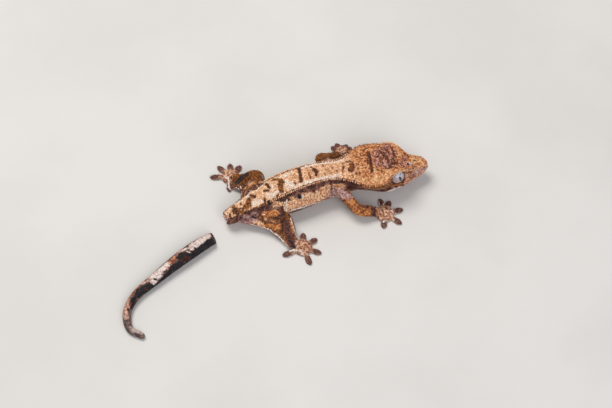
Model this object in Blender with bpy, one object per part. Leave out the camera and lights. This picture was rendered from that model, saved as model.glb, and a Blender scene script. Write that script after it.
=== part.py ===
"""A young crested gecko, life size, as a still model for a museum case.

The animal stands with its legs spread and its body bent a little to its right. It has just
dropped its tail: a short stump is left on the body, and the tail lies behind it on the floor.
The body is modelled whole, from a lines plan of cross-sections and a few tapered limbs, and is
then parted by thin cuts into the nodes that a person would name.

Sizes below are in millimetres. +X points towards the head, +Y to the animal's left and +Z up.
The floor is at z = 0, and the finished meshes are in metres.
"""

import math

import bmesh
import bpy
import numpy as np
from mathutils import Matrix, Vector
from mathutils.bvhtree import BVHTree

for old in list(bpy.data.objects):
    bpy.data.objects.remove(old)

METRES = 0.001
BOX_CENTRE = (-8.53, -12.89)  # the middle of the whole model's box, moved to x = y = 0
GAP = 0.3  # between two nodes that touch on the real animal
LEFT, RIGHT = 1, -1

# The body's line on the floor: how far back from the snout, x, y.
BODY_LINE = (
    (0.0, 39.9, 12.3),
    (10.0, 30.1, 10.3),
    (20.0, 20.3, 8.4),
    (29.0, 11.5, 6.5),
    (37.0, 3.9, 4.9),
    (45.0, -3.6, 2.3),
    (53.0, -10.9, -0.8),
    (61.0, -18.2, -4.1),
    (70.0, -26.1, -8.0),
)

# The lines plan. Each row is one cross-section: how far back from the snout, the height of
# the back, then half width and height of the crest, of the side and of the lower corner,
# then the height of the belly.
SECTIONS = (
    (0.2, 6.6, 0.7, 6.3, 1.1, 5.6, 0.8, 4.9, 4.7),
    (1.2, 7.4, 1.4, 7.1, 2.2, 5.6, 1.6, 4.1, 3.7),
    (3.0, 8.1, 2.1, 7.8, 3.2, 5.4, 2.5, 3.5, 3.0),
    (5.5, 8.9, 2.6, 8.6, 4.1, 5.2, 3.3, 3.0, 2.5),
    (8.0, 9.6, 4.0, 10.3, 4.7, 5.3, 4.7, 2.8, 2.2),
    (11.0, 10.2, 5.3, 11.9, 5.3, 5.3, 5.7, 2.7, 2.0),
    (13.0, 10.6, 6.1, 11.6, 6.1, 5.4, 6.1, 2.7, 1.9),
    (15.5, 10.9, 7.3, 10.1, 7.0, 5.6, 6.1, 2.7, 1.9),
    (17.5, 11.0, 7.9, 9.8, 7.2, 5.8, 5.8, 2.8, 1.9),
    (20.0, 11.0, 8.0, 9.9, 6.8, 5.9, 5.0, 3.0, 2.1),
    (23.0, 11.1, 7.1, 10.1, 5.7, 6.1, 4.3, 3.1, 2.2),
    (26.0, 11.2, 5.0, 10.3, 5.2, 6.2, 3.9, 3.0, 2.1),
    (29.5, 11.5, 3.5, 10.6, 5.6, 6.2, 4.0, 2.6, 1.7),
    (33.0, 11.9, 3.1, 11.1, 6.2, 6.1, 4.4, 2.2, 1.4),
    (37.0, 12.1, 3.2, 11.3, 6.7, 5.9, 4.8, 2.0, 1.1),
    (42.0, 12.1, 3.4, 11.2, 7.3, 5.6, 5.2, 1.8, 0.9),
    (48.0, 11.6, 3.5, 10.7, 7.5, 5.3, 5.3, 1.7, 0.8),
    (53.0, 10.8, 3.5, 9.9, 6.9, 5.0, 4.8, 1.8, 0.9),
    (57.0, 9.7, 3.3, 8.9, 5.8, 4.8, 3.9, 1.9, 1.0),
    (61.0, 8.4, 2.7, 7.7, 4.4, 4.5, 3.0, 1.9, 1.2),
    (65.0, 7.2, 2.2, 6.5, 3.2, 4.1, 2.2, 1.9, 1.3),
    (69.0, 6.1, 1.6, 5.4, 2.4, 3.7, 1.7, 1.9, 1.4),
    (70.4, 5.6, 1.3, 5.0, 2.0, 3.5, 1.4, 2.0, 1.5),
)

EYE_BACK, EYE_OUT, EYE_HEIGHT = 11.5, 3.6, 7.4
EYE_RADIUS, EYE_OPENING = 2.75, 2.42
EYE_UP, EYE_FORWARD = math.radians(30), math.radians(5)
EYE_RIM = 0.4
EYE_SEAT = 1.2  # the eyeball is kept in front of this distance from its middle
ORBIT_RADIUS, ORBIT_DEPTH = 3.35, 2.05

# Each limb: points from inside the body outwards, as x, y, height, half width, half height.
FORE_RIGHT = (
    (9.0, 4.2, 6.4, 2.5, 2.4),
    (11.6, 0.7, 6.2, 2.2, 2.2),
    (14.1, -2.2, 5.2, 1.85, 1.8),
    (16.0, -4.2, 4.2, 1.8, 1.8),
    (18.1, -4.6, 3.3, 2.05, 1.7),
    (20.4, -4.3, 2.5, 2.0, 1.5),
    (22.6, -4.1, 1.8, 1.9, 1.2),
)
FORE_LEFT = (
    (9.0, 8.6, 6.4, 2.5, 2.4),
    (7.6, 11.2, 6.2, 2.2, 2.2),
    (6.0, 13.3, 5.2, 2.0, 1.9),
    (5.0, 15.0, 4.2, 2.0, 1.9),
    (7.0, 15.7, 3.3, 2.05, 1.7),
    (9.0, 16.7, 2.5, 2.0, 1.5),
    (10.8, 18.2, 1.8, 1.9, 1.2),
)
HIND_RIGHT = (
    (-16.5, -4.2, 5.0, 2.9, 2.6),
    (-13.0, -6.3, 4.9, 3.0, 2.7),
    (-9.4, -7.4, 4.8, 2.7, 2.4),
    (-6.9, -8.2, 4.6, 2.0, 2.1),
    (-5.7, -10.3, 3.9, 1.9, 1.9),
    (-5.1, -12.8, 3.0, 1.9, 1.7),
    (-4.3, -15.0, 2.1, 1.6, 1.3),
    (-3.2, -16.6, 1.4, 1.5, 1.0),
)
HIND_LEFT = (
    (-17.6, -2.2, 5.0, 2.9, 2.6),
    (-16.8, 1.8, 4.9, 3.0, 2.7),
    (-16.0, 5.0, 4.8, 2.7, 2.4),
    (-15.7, 7.5, 4.6, 2.0, 2.1),
    (-17.4, 8.5, 3.9, 1.85, 1.9),
    (-19.6, 8.3, 3.0, 1.7, 1.6),
    (-21.8, 8.7, 2.1, 1.5, 1.25),
    (-23.4, 9.5, 1.4, 1.5, 1.0),
)

# The fold of skin behind each thigh and shin, from the tail's root to the ankle: a chain of
# points on its inner edge, and one on its free edge.
WEB_RIGHT = (
    ((-19.0, -6.4, 4.2), (-13.0, -7.4, 4.6), (-7.2, -9.4, 4.2), (-5.2, -14.0, 2.6), (-4.4, -16.0, 1.8)),
    ((-20.4, -8.7, 3.0), (-15.6, -9.7, 2.9), (-11.6, -11.1, 2.6), (-8.0, -14.0, 2.0), (-5.2, -16.9, 1.5)),
)
WEB_LEFT = (
    ((-18.4, -2.0, 4.2), (-17.0, 2.4, 4.6), (-17.2, 6.5, 4.0), (-20.4, 8.0, 2.8), (-23.0, 8.6, 1.7)),
    ((-20.8, -1.6, 3.0), (-20.6, 1.8, 2.7), (-20.6, 4.2, 2.2), (-22.0, 5.3, 1.7), (-23.8, 6.0, 1.3)),
)
WEB_THICK = 0.62

# Each foot: the middle of its palm, then the tip of each toe, on the floor.
FEET = {
    "hand_right": ((25.6, -4.2), ((24.3, 1.3), (27.3, 0.6), (31.3, -2.4), (30.7, -7.7), (25.1, -9.3))),
    "hand_left": ((12.2, 20.2), ((8.6, 22.3), (10.1, 23.6), (13.6, 23.2), (15.0, 22.1), (15.2, 18.7))),
    "foot_right": ((-1.0, -17.0), ((-0.9, -11.8), (3.3, -13.8), (4.6, -19.0), (1.3, -23.0), (-7.2, -19.9))),
    "foot_left": ((-24.9, 10.4), ((-21.8, 14.6), (-25.2, 15.3), (-29.1, 14.3), (-31.4, 10.2), (-25.2, 4.9))),
}
PALM_HALF_WIDTH, PALM_HALF_HEIGHT, PALM_HEIGHT = 2.3, 1.2, 0.85
TOE_WEB_RADIUS, TOE_WEB_HALF_HEIGHT = 3.0, 0.6  # the skin between the roots of the toes

# A toe along its length: share of the way out, half width, half height, height of its middle.
TOE = (
    (0.00, 0.85, 0.75, 0.95),
    (0.35, 0.68, 0.62, 1.00),
    (0.58, 0.82, 0.55, 0.62),
    (0.76, 1.08, 0.50, 0.42),
    (0.90, 1.00, 0.44, 0.40),
    (0.98, 0.72, 0.36, 0.42),
    (1.00, 0.62, 0.34, 0.44),
)

# The dropped tail's line on the floor from its broken end, with its half width.
TAIL_LINE = (
    (-29.4, -14.0, 1.95),
    (-32.7, -16.2, 2.25),
    (-37.85, -20.35, 2.40),
    (-42.75, -24.65, 2.20),
    (-47.85, -29.55, 1.88),
    (-52.3, -33.9, 1.68),
    (-55.0, -38.3, 1.44),
    (-55.7, -42.6, 1.34),
    (-54.4, -46.9, 1.16),
    (-50.6, -49.1, 1.00),
)
TAIL_FLATTENING = 0.92  # height over width
TAIL_SUNK = 0.12  # how much of the round underside the floor flattens

CREST_START, CREST_END = 7.6, 60.0
CREST_RIDGE = 0.38
SPINE_PITCH, SPINE_BASE, SPINE_LENGTH, SPINE_ROOT = 1.5, 0.33, 1.05, 0.45
LASH_START, LASH_END, LASH_LENGTH = 8.2, 14.0, 1.35  # over each eye

VOXEL = 0.22
BODY_TRIANGLES, TAIL_TRIANGLES = 7900, 1000


def smooth_rows(rows, at):
    """Each column of rows after the first, read at a place along the first, on a smooth curve."""
    table = np.array(rows, float)
    places, values = table[:, 0], table[:, 1:]
    slopes = np.gradient(values, places, axis=0)
    at = float(np.clip(at, places[0], places[-1]))
    i = min(int(np.searchsorted(places, at, side="right")) - 1, len(places) - 2)
    span = places[i + 1] - places[i]
    t = (at - places[i]) / span
    return (
        (2 * t**3 - 3 * t**2 + 1) * values[i]
        + (t**3 - 2 * t**2 + t) * span * slopes[i]
        + (-2 * t**3 + 3 * t**2) * values[i + 1]
        + (t**3 - t**2) * span * slopes[i + 1]
    )


def along(points, steps):
    """Rows of points, smoothed into steps rows for each span between two of them."""
    rows = [(i, *point) for i, point in enumerate(points)]
    return [smooth_rows(rows, i / steps) for i in range((len(points) - 1) * steps + 1)]


def body_frame(back):
    """The place on the body's line this far back from the snout, the way forward, and left."""
    here = smooth_rows(BODY_LINE, back)
    step = 0.5
    ahead = smooth_rows(BODY_LINE, max(back - step, BODY_LINE[0][0]))
    behind = smooth_rows(BODY_LINE, min(back + step, BODY_LINE[-1][0]))
    forward = Vector((*(ahead - behind), 0)).normalized()
    return Vector((*here, 0)), forward, Vector((-forward.y, forward.x, 0))


def on_body(back, out, height, side=LEFT):
    """A point this far back from the snout, out from the middle on one side, and up."""
    middle, _, left = body_frame(back)
    return middle + left * (out * side) + Vector((0, 0, height))


def crest_point(back, side):
    row = smooth_rows(SECTIONS, back)
    return on_body(back, row[1], row[2], side)


def section_ring(back, samples=6):
    """One closed cross-section of the body, through its top, crest, side, low corner and belly."""
    top, crest, crest_z, wide, wide_z, low, low_z, bottom = smooth_rows(SECTIONS, back)
    half = [(crest, crest_z), (wide, wide_z), (low, low_z)]
    loop = [(0, top), *half, (0, bottom), *[(-x, z) for x, z in reversed(half)]]
    points = np.array(loop)
    ring = []
    for i in range(len(points)):
        a, b, c, d = (points[(i + k) % len(points)] for k in (-1, 0, 1, 2))
        for k in range(samples):
            t = k / samples
            x, z = 0.5 * (2 * b + (c - a) * t + (2 * a - 5 * b + 4 * c - d) * t**2 + (3 * b - a - 3 * c + d) * t**3)
            ring.append(on_body(back, x, z))
    return ring


def tube_rings(rows, sides=20):
    """Rings round a line of points; each row is x, y, z, half width, half height."""
    centres = [Vector(row[:3]) for row in rows]
    rings = []
    for i, row in enumerate(rows):
        ahead = centres[min(i + 1, len(rows) - 1)] - centres[max(i - 1, 0)]
        across = ahead.cross(Vector((0, 0, 1))).normalized()
        up = across.cross(ahead).normalized()
        turn = [2 * math.pi * k / sides for k in range(sides)]
        rings.append([centres[i] + across * (row[3] * math.cos(a)) + up * (row[4] * math.sin(a)) for a in turn])
    return rings


def new_object(name, bm):
    bmesh.ops.recalc_face_normals(bm, faces=bm.faces)
    mesh = bpy.data.meshes.new(name)
    bm.to_mesh(mesh)
    bm.free()
    obj = bpy.data.objects.new(name, mesh)
    bpy.context.scene.collection.objects.link(obj)
    return obj


def loft(name, rings):
    """A closed skin over rings of points, with a fan over each end."""
    bm = bmesh.new()
    loops = [[bm.verts.new(point) for point in ring] for ring in rings]
    for a, b in zip(loops, loops[1:]):
        for k in range(len(a)):
            n = (k + 1) % len(a)
            bm.faces.new((a[k], a[n], b[n], b[k]))
    for loop in (loops[0], loops[-1]):
        hub = bm.verts.new(sum((v.co for v in loop), Vector()) / len(loop))
        for k in range(len(loop)):
            bm.faces.new((loop[k], loop[(k + 1) % len(loop)], hub))
    return new_object(name, bm)


def ball(name, centre, radii, turn=None):
    """An ellipsoid; turn is a matrix that tilts it about its own centre."""
    bm = bmesh.new()
    bmesh.ops.create_icosphere(bm, subdivisions=3, radius=1)
    turn = turn or Matrix.Identity(3)
    place = Matrix.Translation(centre) @ turn.to_4x4() @ Matrix.Diagonal((*radii, 1))
    bmesh.ops.transform(bm, matrix=place, verts=bm.verts)
    return new_object(name, bm)


def rounded_tube(name, rows, sides=20):
    """A tube along rows, with its two ends rounded off."""
    ends = []
    for row, inner in ((rows[0], rows[1]), (rows[-1], rows[-2])):
        out = (Vector(row[:3]) - Vector(inner[:3])).normalized()
        reach = min(row[3], row[4])
        cap = []
        for angle in (math.radians(35), math.radians(68)):
            place = Vector(row[:3]) + out * (reach * math.sin(angle))
            cap.append((*place, row[3] * math.cos(angle), row[4] * math.cos(angle)))
        ends.append(cap)
    return loft(name, tube_rings([*reversed(ends[0]), *rows, *ends[1]], sides))


def web(name, inner, outer):
    """A thin fold of skin between two edges, as a chain of flat hulls with rounded rims."""
    pieces = []
    for i in range(len(inner) - 1):
        bm = bmesh.new()
        for corner in (inner[i], inner[i + 1], outer[i], outer[i + 1]):
            place = Matrix.Translation(corner)
            bmesh.ops.create_icosphere(bm, subdivisions=2, radius=WEB_THICK, matrix=place)
        hull = bmesh.ops.convex_hull(bm, input=bm.verts)
        spare = [g for g in hull["geom_interior"] + hull["geom_unused"] if isinstance(g, bmesh.types.BMVert)]
        bmesh.ops.delete(bm, geom=list(set(spare)), context="VERTS")
        pieces.append(new_object(name, bm))
    return pieces


def toe(name, palm, tip):
    rows = []
    for share, half_width, half_height, height in along_toe():
        x = palm[0] + (tip[0] - palm[0]) * share
        y = palm[1] + (tip[1] - palm[1]) * share
        rows.append((x, y, height, half_width, half_height))
    return rounded_tube(name, rows, 14)


def along_toe(steps=12):
    return [(i / steps, *smooth_rows(TOE, i / steps)) for i in range(steps + 1)]


def foot_pieces(name):
    palm, tips = FEET[name]
    centre = Vector((*palm, PALM_HEIGHT))
    low = Vector((*palm, TOE_WEB_HALF_HEIGHT * 0.8))
    pieces = [
        ball(name, centre, (PALM_HALF_WIDTH, PALM_HALF_WIDTH, PALM_HALF_HEIGHT)),
        ball(name, low, (TOE_WEB_RADIUS, TOE_WEB_RADIUS, TOE_WEB_HALF_HEIGHT)),
    ]
    pieces += [toe(f"{name}_toe{i}", palm, tip) for i, tip in enumerate(tips, 1)]
    return pieces


def eye_frame(side):
    """The middle of an eye, and the way that it looks."""
    _, forward, left = body_frame(EYE_BACK)
    flat = left * (side * math.cos(EYE_FORWARD)) + forward * math.sin(EYE_FORWARD)
    look = flat * math.cos(EYE_UP) + Vector((0, 0, math.sin(EYE_UP)))
    return on_body(EYE_BACK, EYE_OUT, EYE_HEIGHT, side), look


def orbit(side):
    """The bulge that carries an eye, flat towards the eye's opening."""
    centre, look = eye_frame(side)
    turn = look.to_track_quat("Z", "Y").to_matrix()
    return ball("orbit", centre, (ORBIT_RADIUS, ORBIT_RADIUS, ORBIT_DEPTH), turn)


def eye_rim(side):
    """The raised ring of scales round an eye."""
    centre, look = eye_frame(side)
    turn = look.to_track_quat("Z", "Y").to_matrix()
    sides = 28
    ring = EYE_OPENING + EYE_RIM
    rise = math.sqrt(EYE_RADIUS**2 - EYE_OPENING**2) - 0.05
    bm = bmesh.new()
    loops = []
    for i in range(sides):
        a = 2 * math.pi * i / sides
        spoke = turn @ Vector((math.cos(a), math.sin(a), 0))
        hub = centre + look * rise + spoke * ring
        loops.append([
            bm.verts.new(hub + (spoke * math.cos(b) + look * math.sin(b)) * EYE_RIM)
            for b in (2 * math.pi * k / 10 for k in range(10))
        ])
    for i, a in enumerate(loops):
        b = loops[(i + 1) % sides]
        for k in range(10):
            bm.faces.new((a[k], a[(k + 1) % 10], b[(k + 1) % 10], b[k]))
    return new_object("eye_rim", bm)


def crest_ridge(side):
    """The low ridge under the crest's spines, from the brow to the hip."""
    count = 60
    rows = []
    for i in range(count + 1):
        back = CREST_START + (CREST_END - CREST_START) * i / count
        half = CREST_RIDGE * min(1, 0.5 + 4 * min(i, count - i) / count)
        rows.append((*(crest_point(back, side) + Vector((0, 0, 0.05))), half, half))
    return rounded_tube("crest_ridge", rows, 10)


def join(name, pieces):
    """Several closed pieces as one mesh object, still overlapping."""
    bm = bmesh.new()
    for piece in pieces:
        bm.from_mesh(piece.data)
        bpy.data.objects.remove(piece)
    mesh = bpy.data.meshes.new(name)
    bm.to_mesh(mesh)
    bm.free()
    obj = bpy.data.objects.new(name, mesh)
    bpy.context.scene.collection.objects.link(obj)
    return obj


def apply_modifiers(obj):
    """The object's mesh as its modifiers leave it."""
    graph = bpy.context.evaluated_depsgraph_get()
    mesh = bpy.data.meshes.new_from_object(obj.evaluated_get(graph))
    obj.modifiers.clear()
    obj.data = mesh


def fuse(obj, voxel, roots, triangles):
    """Overlapping pieces become one skin, soft where limbs leave the body, with few triangles."""
    remesh = obj.modifiers.new("fuse", "REMESH")
    remesh.mode = "VOXEL"
    remesh.voxel_size = voxel
    apply_modifiers(obj)
    reach = 4.2
    soft = obj.vertex_groups.new(name="roots")
    for vertex in obj.data.vertices:
        near = min((vertex.co - root).length for root in roots) if roots else reach
        if near < reach:
            soft.add([vertex.index], 1 - near / reach, "REPLACE")
    even = obj.modifiers.new("even", "SMOOTH")
    even.factor, even.iterations = 0.5, 3
    blend = obj.modifiers.new("blend", "SMOOTH")
    blend.factor, blend.iterations, blend.vertex_group = 0.6, 26, "roots"
    apply_modifiers(obj)
    obj.vertex_groups.clear()
    thin = obj.modifiers.new("thin", "DECIMATE")
    thin.use_collapse_triangulate = True
    thin.ratio = triangles / (2 * len(obj.data.polygons))
    apply_modifiers(obj)


def flatten_on_floor(obj):
    """Cuts off what the smoothing and the round undersides leave below the floor."""
    bm = bmesh.new()
    bm.from_mesh(obj.data)
    everything = [*bm.verts, *bm.edges, *bm.faces]
    cut = bmesh.ops.bisect_plane(
        bm, geom=everything, plane_co=(0, 0, 0), plane_no=(0, 0, -1), clear_outer=True, dist=1e-4
    )
    edges = [e for e in cut["geom_cut"] if isinstance(e, bmesh.types.BMEdge) and e.is_boundary]
    bmesh.ops.holes_fill(bm, edges=edges)
    bmesh.ops.triangulate(bm, faces=bm.faces)
    bmesh.ops.recalc_face_normals(bm, faces=bm.faces)
    bm.to_mesh(obj.data)
    bm.free()


def boolean(obj, cutters, operation):
    """One Boolean of the object with a collection of closed meshes, which are then removed."""
    group = bpy.data.collections.new("cutters")
    bpy.context.scene.collection.children.link(group)
    for cutter in cutters:
        bpy.context.scene.collection.objects.unlink(cutter)
        group.objects.link(cutter)
    modifier = obj.modifiers.new(operation.lower(), "BOOLEAN")
    modifier.operation = operation
    modifier.solver = "MANIFOLD"
    modifier.operand_type = "COLLECTION"
    modifier.collection = group
    apply_modifiers(obj)
    for cutter in cutters:
        bpy.data.objects.remove(cutter)
    bpy.data.collections.remove(group)


def loose_pieces(bm):
    """The vertices of each closed surface of a mesh."""
    seen, found = set(), []
    for start in bm.verts:
        if start in seen:
            continue
        piece, todo = [], [start]
        seen.add(start)
        while todo:
            vertex = todo.pop()
            piece.append(vertex)
            for edge in vertex.link_edges:
                other = edge.other_vert(vertex)
                if other not in seen:
                    seen.add(other)
                    todo.append(other)
        found.append(piece)
    return found


def split(obj, anchors):
    """The body's loose pieces as objects, each named for the anchor point that is nearest its own
    middle. Scraps that a cut leaves are dropped."""
    bm = bmesh.new()
    bm.from_mesh(obj.data)
    pieces = sorted(loose_pieces(bm), key=len, reverse=True)[: len(anchors)]
    made, free = {}, dict(anchors)
    for piece in pieces:
        middle = sum((v.co for v in piece), Vector()) / len(piece)
        name = min(free, key=lambda key: (middle - Vector(free[key])).length)
        free.pop(name)
        keep = set(piece)
        own = bmesh.new()
        copies = {v: own.verts.new(v.co) for v in piece}
        for face in bm.faces:
            if face.verts[0] in keep:
                own.faces.new([copies[v] for v in face.verts])
        made[name] = new_object(name, own)
    bm.free()
    bpy.data.objects.remove(obj)
    return made


def keep_largest(obj):
    bm = bmesh.new()
    bm.from_mesh(obj.data)
    pieces = sorted(loose_pieces(bm), key=len, reverse=True)
    scraps = [v for piece in pieces[1:] for v in piece]
    bmesh.ops.delete(bm, geom=scraps, context="VERTS")
    bm.to_mesh(obj.data)
    bm.free()


def slab(centre, normal, width, height):
    """A thin upright plate that parts the body: its middle, the way across the cut, its size."""
    normal = Vector(normal).normalized()
    side = Vector((-normal.y, normal.x, 0)).normalized()
    up = normal.cross(side)
    turn = Matrix((normal, side, up)).transposed().to_4x4()
    bm = bmesh.new()
    bmesh.ops.create_cube(bm, size=1)
    place = Matrix.Translation(centre) @ turn @ Matrix.Diagonal((GAP, width, height, 1))
    bmesh.ops.transform(bm, matrix=place, verts=bm.verts)
    return new_object("slab", bm)


def body_slab(back, width):
    middle, forward, _ = body_frame(back)
    return slab(middle + Vector((0, 0, 7)), forward, width, 18)


def limb_slab(limb, i, width=7.0, height=8.0):
    """A cut across a limb at its point i, square to the limb."""
    ahead = Vector(limb[min(i + 1, len(limb) - 1)][:3])
    return slab(Vector(limb[i][:3]), ahead - Vector(limb[i - 1][:3]), width, height)


def cone(root, out, length, base, sides=5):
    """One spine: a closed tapered peg with its root sunk into what it grows from."""
    bm = bmesh.new()
    bmesh.ops.create_cone(
        bm, cap_ends=True, segments=sides, radius1=base, radius2=base * 0.16, depth=length + SPINE_ROOT
    )
    turn = out.to_track_quat("Z", "Y").to_matrix().to_4x4()
    middle = root + out * ((length - SPINE_ROOT) / 2)
    bmesh.ops.transform(bm, matrix=Matrix.Translation(middle) @ turn, verts=bm.verts)
    return new_object("spine", bm)


def crest_spines(surface, first, last, side, longest=SPINE_LENGTH):
    """The row of spines along one side's crest, between two places along the body."""
    spines = []
    count = int((last - first) / SPINE_PITCH)
    for i in range(count):
        back = first + (i + 0.5) * (last - first) / count
        _, forward, left = body_frame(back)
        out = (left * side + Vector((0, 0, 0.28)) - forward * 0.25).normalized()
        aim = crest_point(back, side) + out * 1.2
        root = surface.find_nearest(aim)[0]
        length = longest * (0.8 + 0.2 * ((i * 7) % 5) / 4)
        spines.append(cone(root, out, length, SPINE_BASE))
    return spines


def surface_of(obj):
    bm = bmesh.new()
    bm.from_mesh(obj.data)
    tree = BVHTree.FromBMesh(bm)
    bm.free()
    return tree


def eye_cap(name, side, radius, seat):
    """The part of an eyeball that stands in front of a flat seat inside the head."""
    centre, look = eye_frame(side)
    bm = bmesh.new()
    bmesh.ops.create_uvsphere(bm, u_segments=20, v_segments=14, radius=radius)
    everything = [*bm.verts, *bm.edges, *bm.faces]
    cut = bmesh.ops.bisect_plane(
        bm, geom=everything, plane_co=(0, 0, seat), plane_no=(0, 0, -1), clear_outer=True, dist=1e-4
    )
    edges = [e for e in cut["geom_cut"] if isinstance(e, bmesh.types.BMEdge)]
    bmesh.ops.contextual_create(bm, geom=edges)
    turn = look.to_track_quat("Z", "Y").to_matrix().to_4x4()
    bmesh.ops.transform(bm, matrix=Matrix.Translation(centre) @ turn, verts=bm.verts)
    return new_object(name, bm)


def eye_window(side):
    """A round bar that opens the lids over an eyeball."""
    centre, look = eye_frame(side)
    inner, outer = EYE_SEAT + 0.1, EYE_RADIUS + 1.5
    bm = bmesh.new()
    bmesh.ops.create_cone(
        bm, cap_ends=True, segments=28, radius1=EYE_OPENING, radius2=EYE_OPENING, depth=outer - inner
    )
    turn = look.to_track_quat("Z", "Y").to_matrix().to_4x4()
    middle = centre + look * ((inner + outer) / 2)
    bmesh.ops.transform(bm, matrix=Matrix.Translation(middle) @ turn, verts=bm.verts)
    return new_object("window", bm)


def mouth_groove(surface):
    """A thin worm laid on the skin from one corner of the mouth round the snout to the other."""
    corner, half = 15.0, 0.2
    places = [(corner * (1 - i / 14) ** 1.25, RIGHT) for i in range(14)]
    rows = []
    for back, side in [*places, *[(b, LEFT) for b, _ in reversed(places)]]:
        low = smooth_rows(SECTIONS, max(back, 0.3))
        height = 4.75 - 0.02 * (back - 7) ** 2 * (back > 7)
        aim = on_body(max(back, 0.1), low[3] + 0.8, height, side) + body_frame(0)[1] * (0.9 * (back < 0.6))
        rows.append((*surface.find_nearest(aim)[0], half, half))
    return rounded_tube("mouth", rows, 6)


def carve_head(body, surface):
    """Pockets for the eyes, the nostrils, the ear cups and the line of the mouth."""
    cutters = [mouth_groove(surface)]
    for side in (LEFT, RIGHT):
        cutters += [eye_cap("pocket", side, EYE_RADIUS + GAP, EYE_SEAT - GAP), eye_window(side)]
        nostril = surface.find_nearest(on_body(1.25, 2.4, 6.9, side))[0]
        cutters.append(ball("nostril", nostril, (0.34, 0.3, 0.3)))
        ear = surface.find_nearest(on_body(20.4, 9.0, 6.4, side))[0]
        cutters.append(ball("ear", ear, (0.55, 0.75, 1.15)))
    boolean(body, cutters, "DIFFERENCE")
    keep_largest(body)


def whole_body():
    rings = [section_ring(SECTIONS[0][0] + i * 0.7) for i in range(int(69.6 / 0.7) + 1)]
    pieces = [loft("trunk", rings)]
    for limb in (FORE_RIGHT, FORE_LEFT, HIND_RIGHT, HIND_LEFT):
        pieces.append(rounded_tube("limb", along(limb, 5)))
    pieces += [*web("web_right", *WEB_RIGHT), *web("web_left", *WEB_LEFT)]
    for side in (LEFT, RIGHT):
        pieces += [orbit(side), eye_rim(side), crest_ridge(side)]
    for name in FEET:
        pieces += foot_pieces(name)
    body = join("body", pieces)
    roots = [Vector(limb[i][:3]) for limb in (FORE_RIGHT, FORE_LEFT, HIND_RIGHT, HIND_LEFT) for i in (1, 2)]
    fuse(body, VOXEL, roots, BODY_TRIANGLES)
    flatten_on_floor(body)
    return body


def part_body(body):
    """Cuts the whole body into its nodes."""
    knee_right, knee_left = Vector((-0.72, 0.70, 0)), Vector((-0.64, 0.76, 0))
    cuts = [
        body_slab(23.4, 18),
        body_slab(27.6, 12.6),
        body_slab(65.3, 10),
        slab((12.0, -0.2, 5.5), (0.55, -0.83, 0), 8, 11),
        slab((6.9, 12.5, 5.5), (-0.1, 0.99, 0), 9.5, 11),
        slab((-12.7, -7.13, 4.4), (0.16, -0.99, 0), 16.4, 11),
        slab((-16.7, 3.5, 4.4), (-0.62, 0.79, 0), 13.6, 11),
        limb_slab(FORE_RIGHT, 3),
        limb_slab(FORE_LEFT, 3),
        slab((-8.8, -10.4, 3.5), knee_right, 13, 9),
        slab((-18.2, 6.2, 3.5), knee_left, 12, 9),
        limb_slab(FORE_RIGHT, 6, 6, 6),
        limb_slab(FORE_LEFT, 6, 6, 6),
        limb_slab(HIND_RIGHT, 6, 6, 6),
        slab((-21.6, 7.6, 2.4), (-0.99, 0.12, 0), 8.6, 6),
    ]
    boolean(body, cuts, "DIFFERENCE")
    anchors = {
        "head": on_body(12, 0, 6.5),
        "neck": on_body(25.5, 0, 6.5),
        "torso": on_body(46, 0, 6.5),
        "tail_stump": on_body(68, 0, 4),
        "upper_arm_right": (13.4, -2.4, 5.2),
        "upper_arm_left": (5.7, 14.0, 5.2),
        "forearm_right": (18.8, -4.6, 3.2),
        "forearm_left": (6.6, 17.6, 3.2),
        "hand_right": (26.5, -4.0, 0.7),
        "hand_left": (12.5, 21.0, 0.7),
        "thigh_right": (-10.5, -8.5, 4),
        "thigh_left": (-17.0, 6.0, 4),
        "shin_right": (-5.2, -12.8, 3),
        "shin_left": (-19.8, 8.8, 3),
        "foot_right": (-0.5, -17.5, 0.7),
        "foot_left": (-25.6, 10.8, 0.7),
    }
    return split(body, anchors)


def dropped_tail():
    """The tail on the floor, in three lengths, with its broken end cut at a slant."""
    rows = []
    for x, y, half in along(TAIL_LINE, 5):
        tall = half * TAIL_FLATTENING
        rows.append((x, y, tall - TAIL_SUNK, half, tall))
    tail = rounded_tube("tail", rows, 20)
    fuse(tail, 0.3, [], TAIL_TRIANGLES)
    flatten_on_floor(tail)
    line = [Vector((*row[:2], 0)) for row in TAIL_LINE]
    cuts = [
        slab(line[0] + Vector((-0.3, 0.1, 2)), (0.88, 0.3, 0.36), 9, 9),
        slab(line[3] + Vector((0, 0, 2)), line[2] - line[4], 9, 9),
        slab(line[6] + Vector((0, 0, 2)), line[5] - line[7], 9, 9),
    ]
    boolean(tail, cuts, "DIFFERENCE")
    anchors = {
        "dropped_tail_base": (*line[1].lerp(line[2], 0.3).xy, 2),
        "dropped_tail_middle": (*line[4].lerp(line[5], 0.3).xy, 2),
        "dropped_tail_tip": (*line[8].xy, 1),
    }
    return split(tail, anchors)


def grow_spines(nodes, skin):
    """Fuses the crest's spines, the eyelashes and the stump's torn ends into their nodes."""
    spans = {"head": (14.0, 22.6), "neck": (23.8, 29.6), "torso": (30.8, CREST_END - 1)}
    for name, (first, last) in spans.items():
        spines = [s for side in (LEFT, RIGHT) for s in crest_spines(skin, first, last, side)]
        if name == "head":
            for side in (LEFT, RIGHT):
                spines += crest_spines(skin, LASH_START, LASH_END, side, LASH_LENGTH)
        boolean(nodes[name], spines, "UNION")
        keep_largest(nodes[name])
    _, forward, _ = body_frame(70)
    shreds = []
    for i in range(6):
        a = 2 * math.pi * i / 6
        aim = on_body(72, 1.1 * math.cos(a), 3.4 + 1.1 * math.sin(a))
        root = skin.find_nearest(aim)[0]
        shreds.append(cone(root, (Vector((0, 0, 0.1)) - forward).normalized(), 0.75, 0.42))
    boolean(nodes["tail_stump"], shreds, "UNION")
    keep_largest(nodes["tail_stump"])


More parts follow.
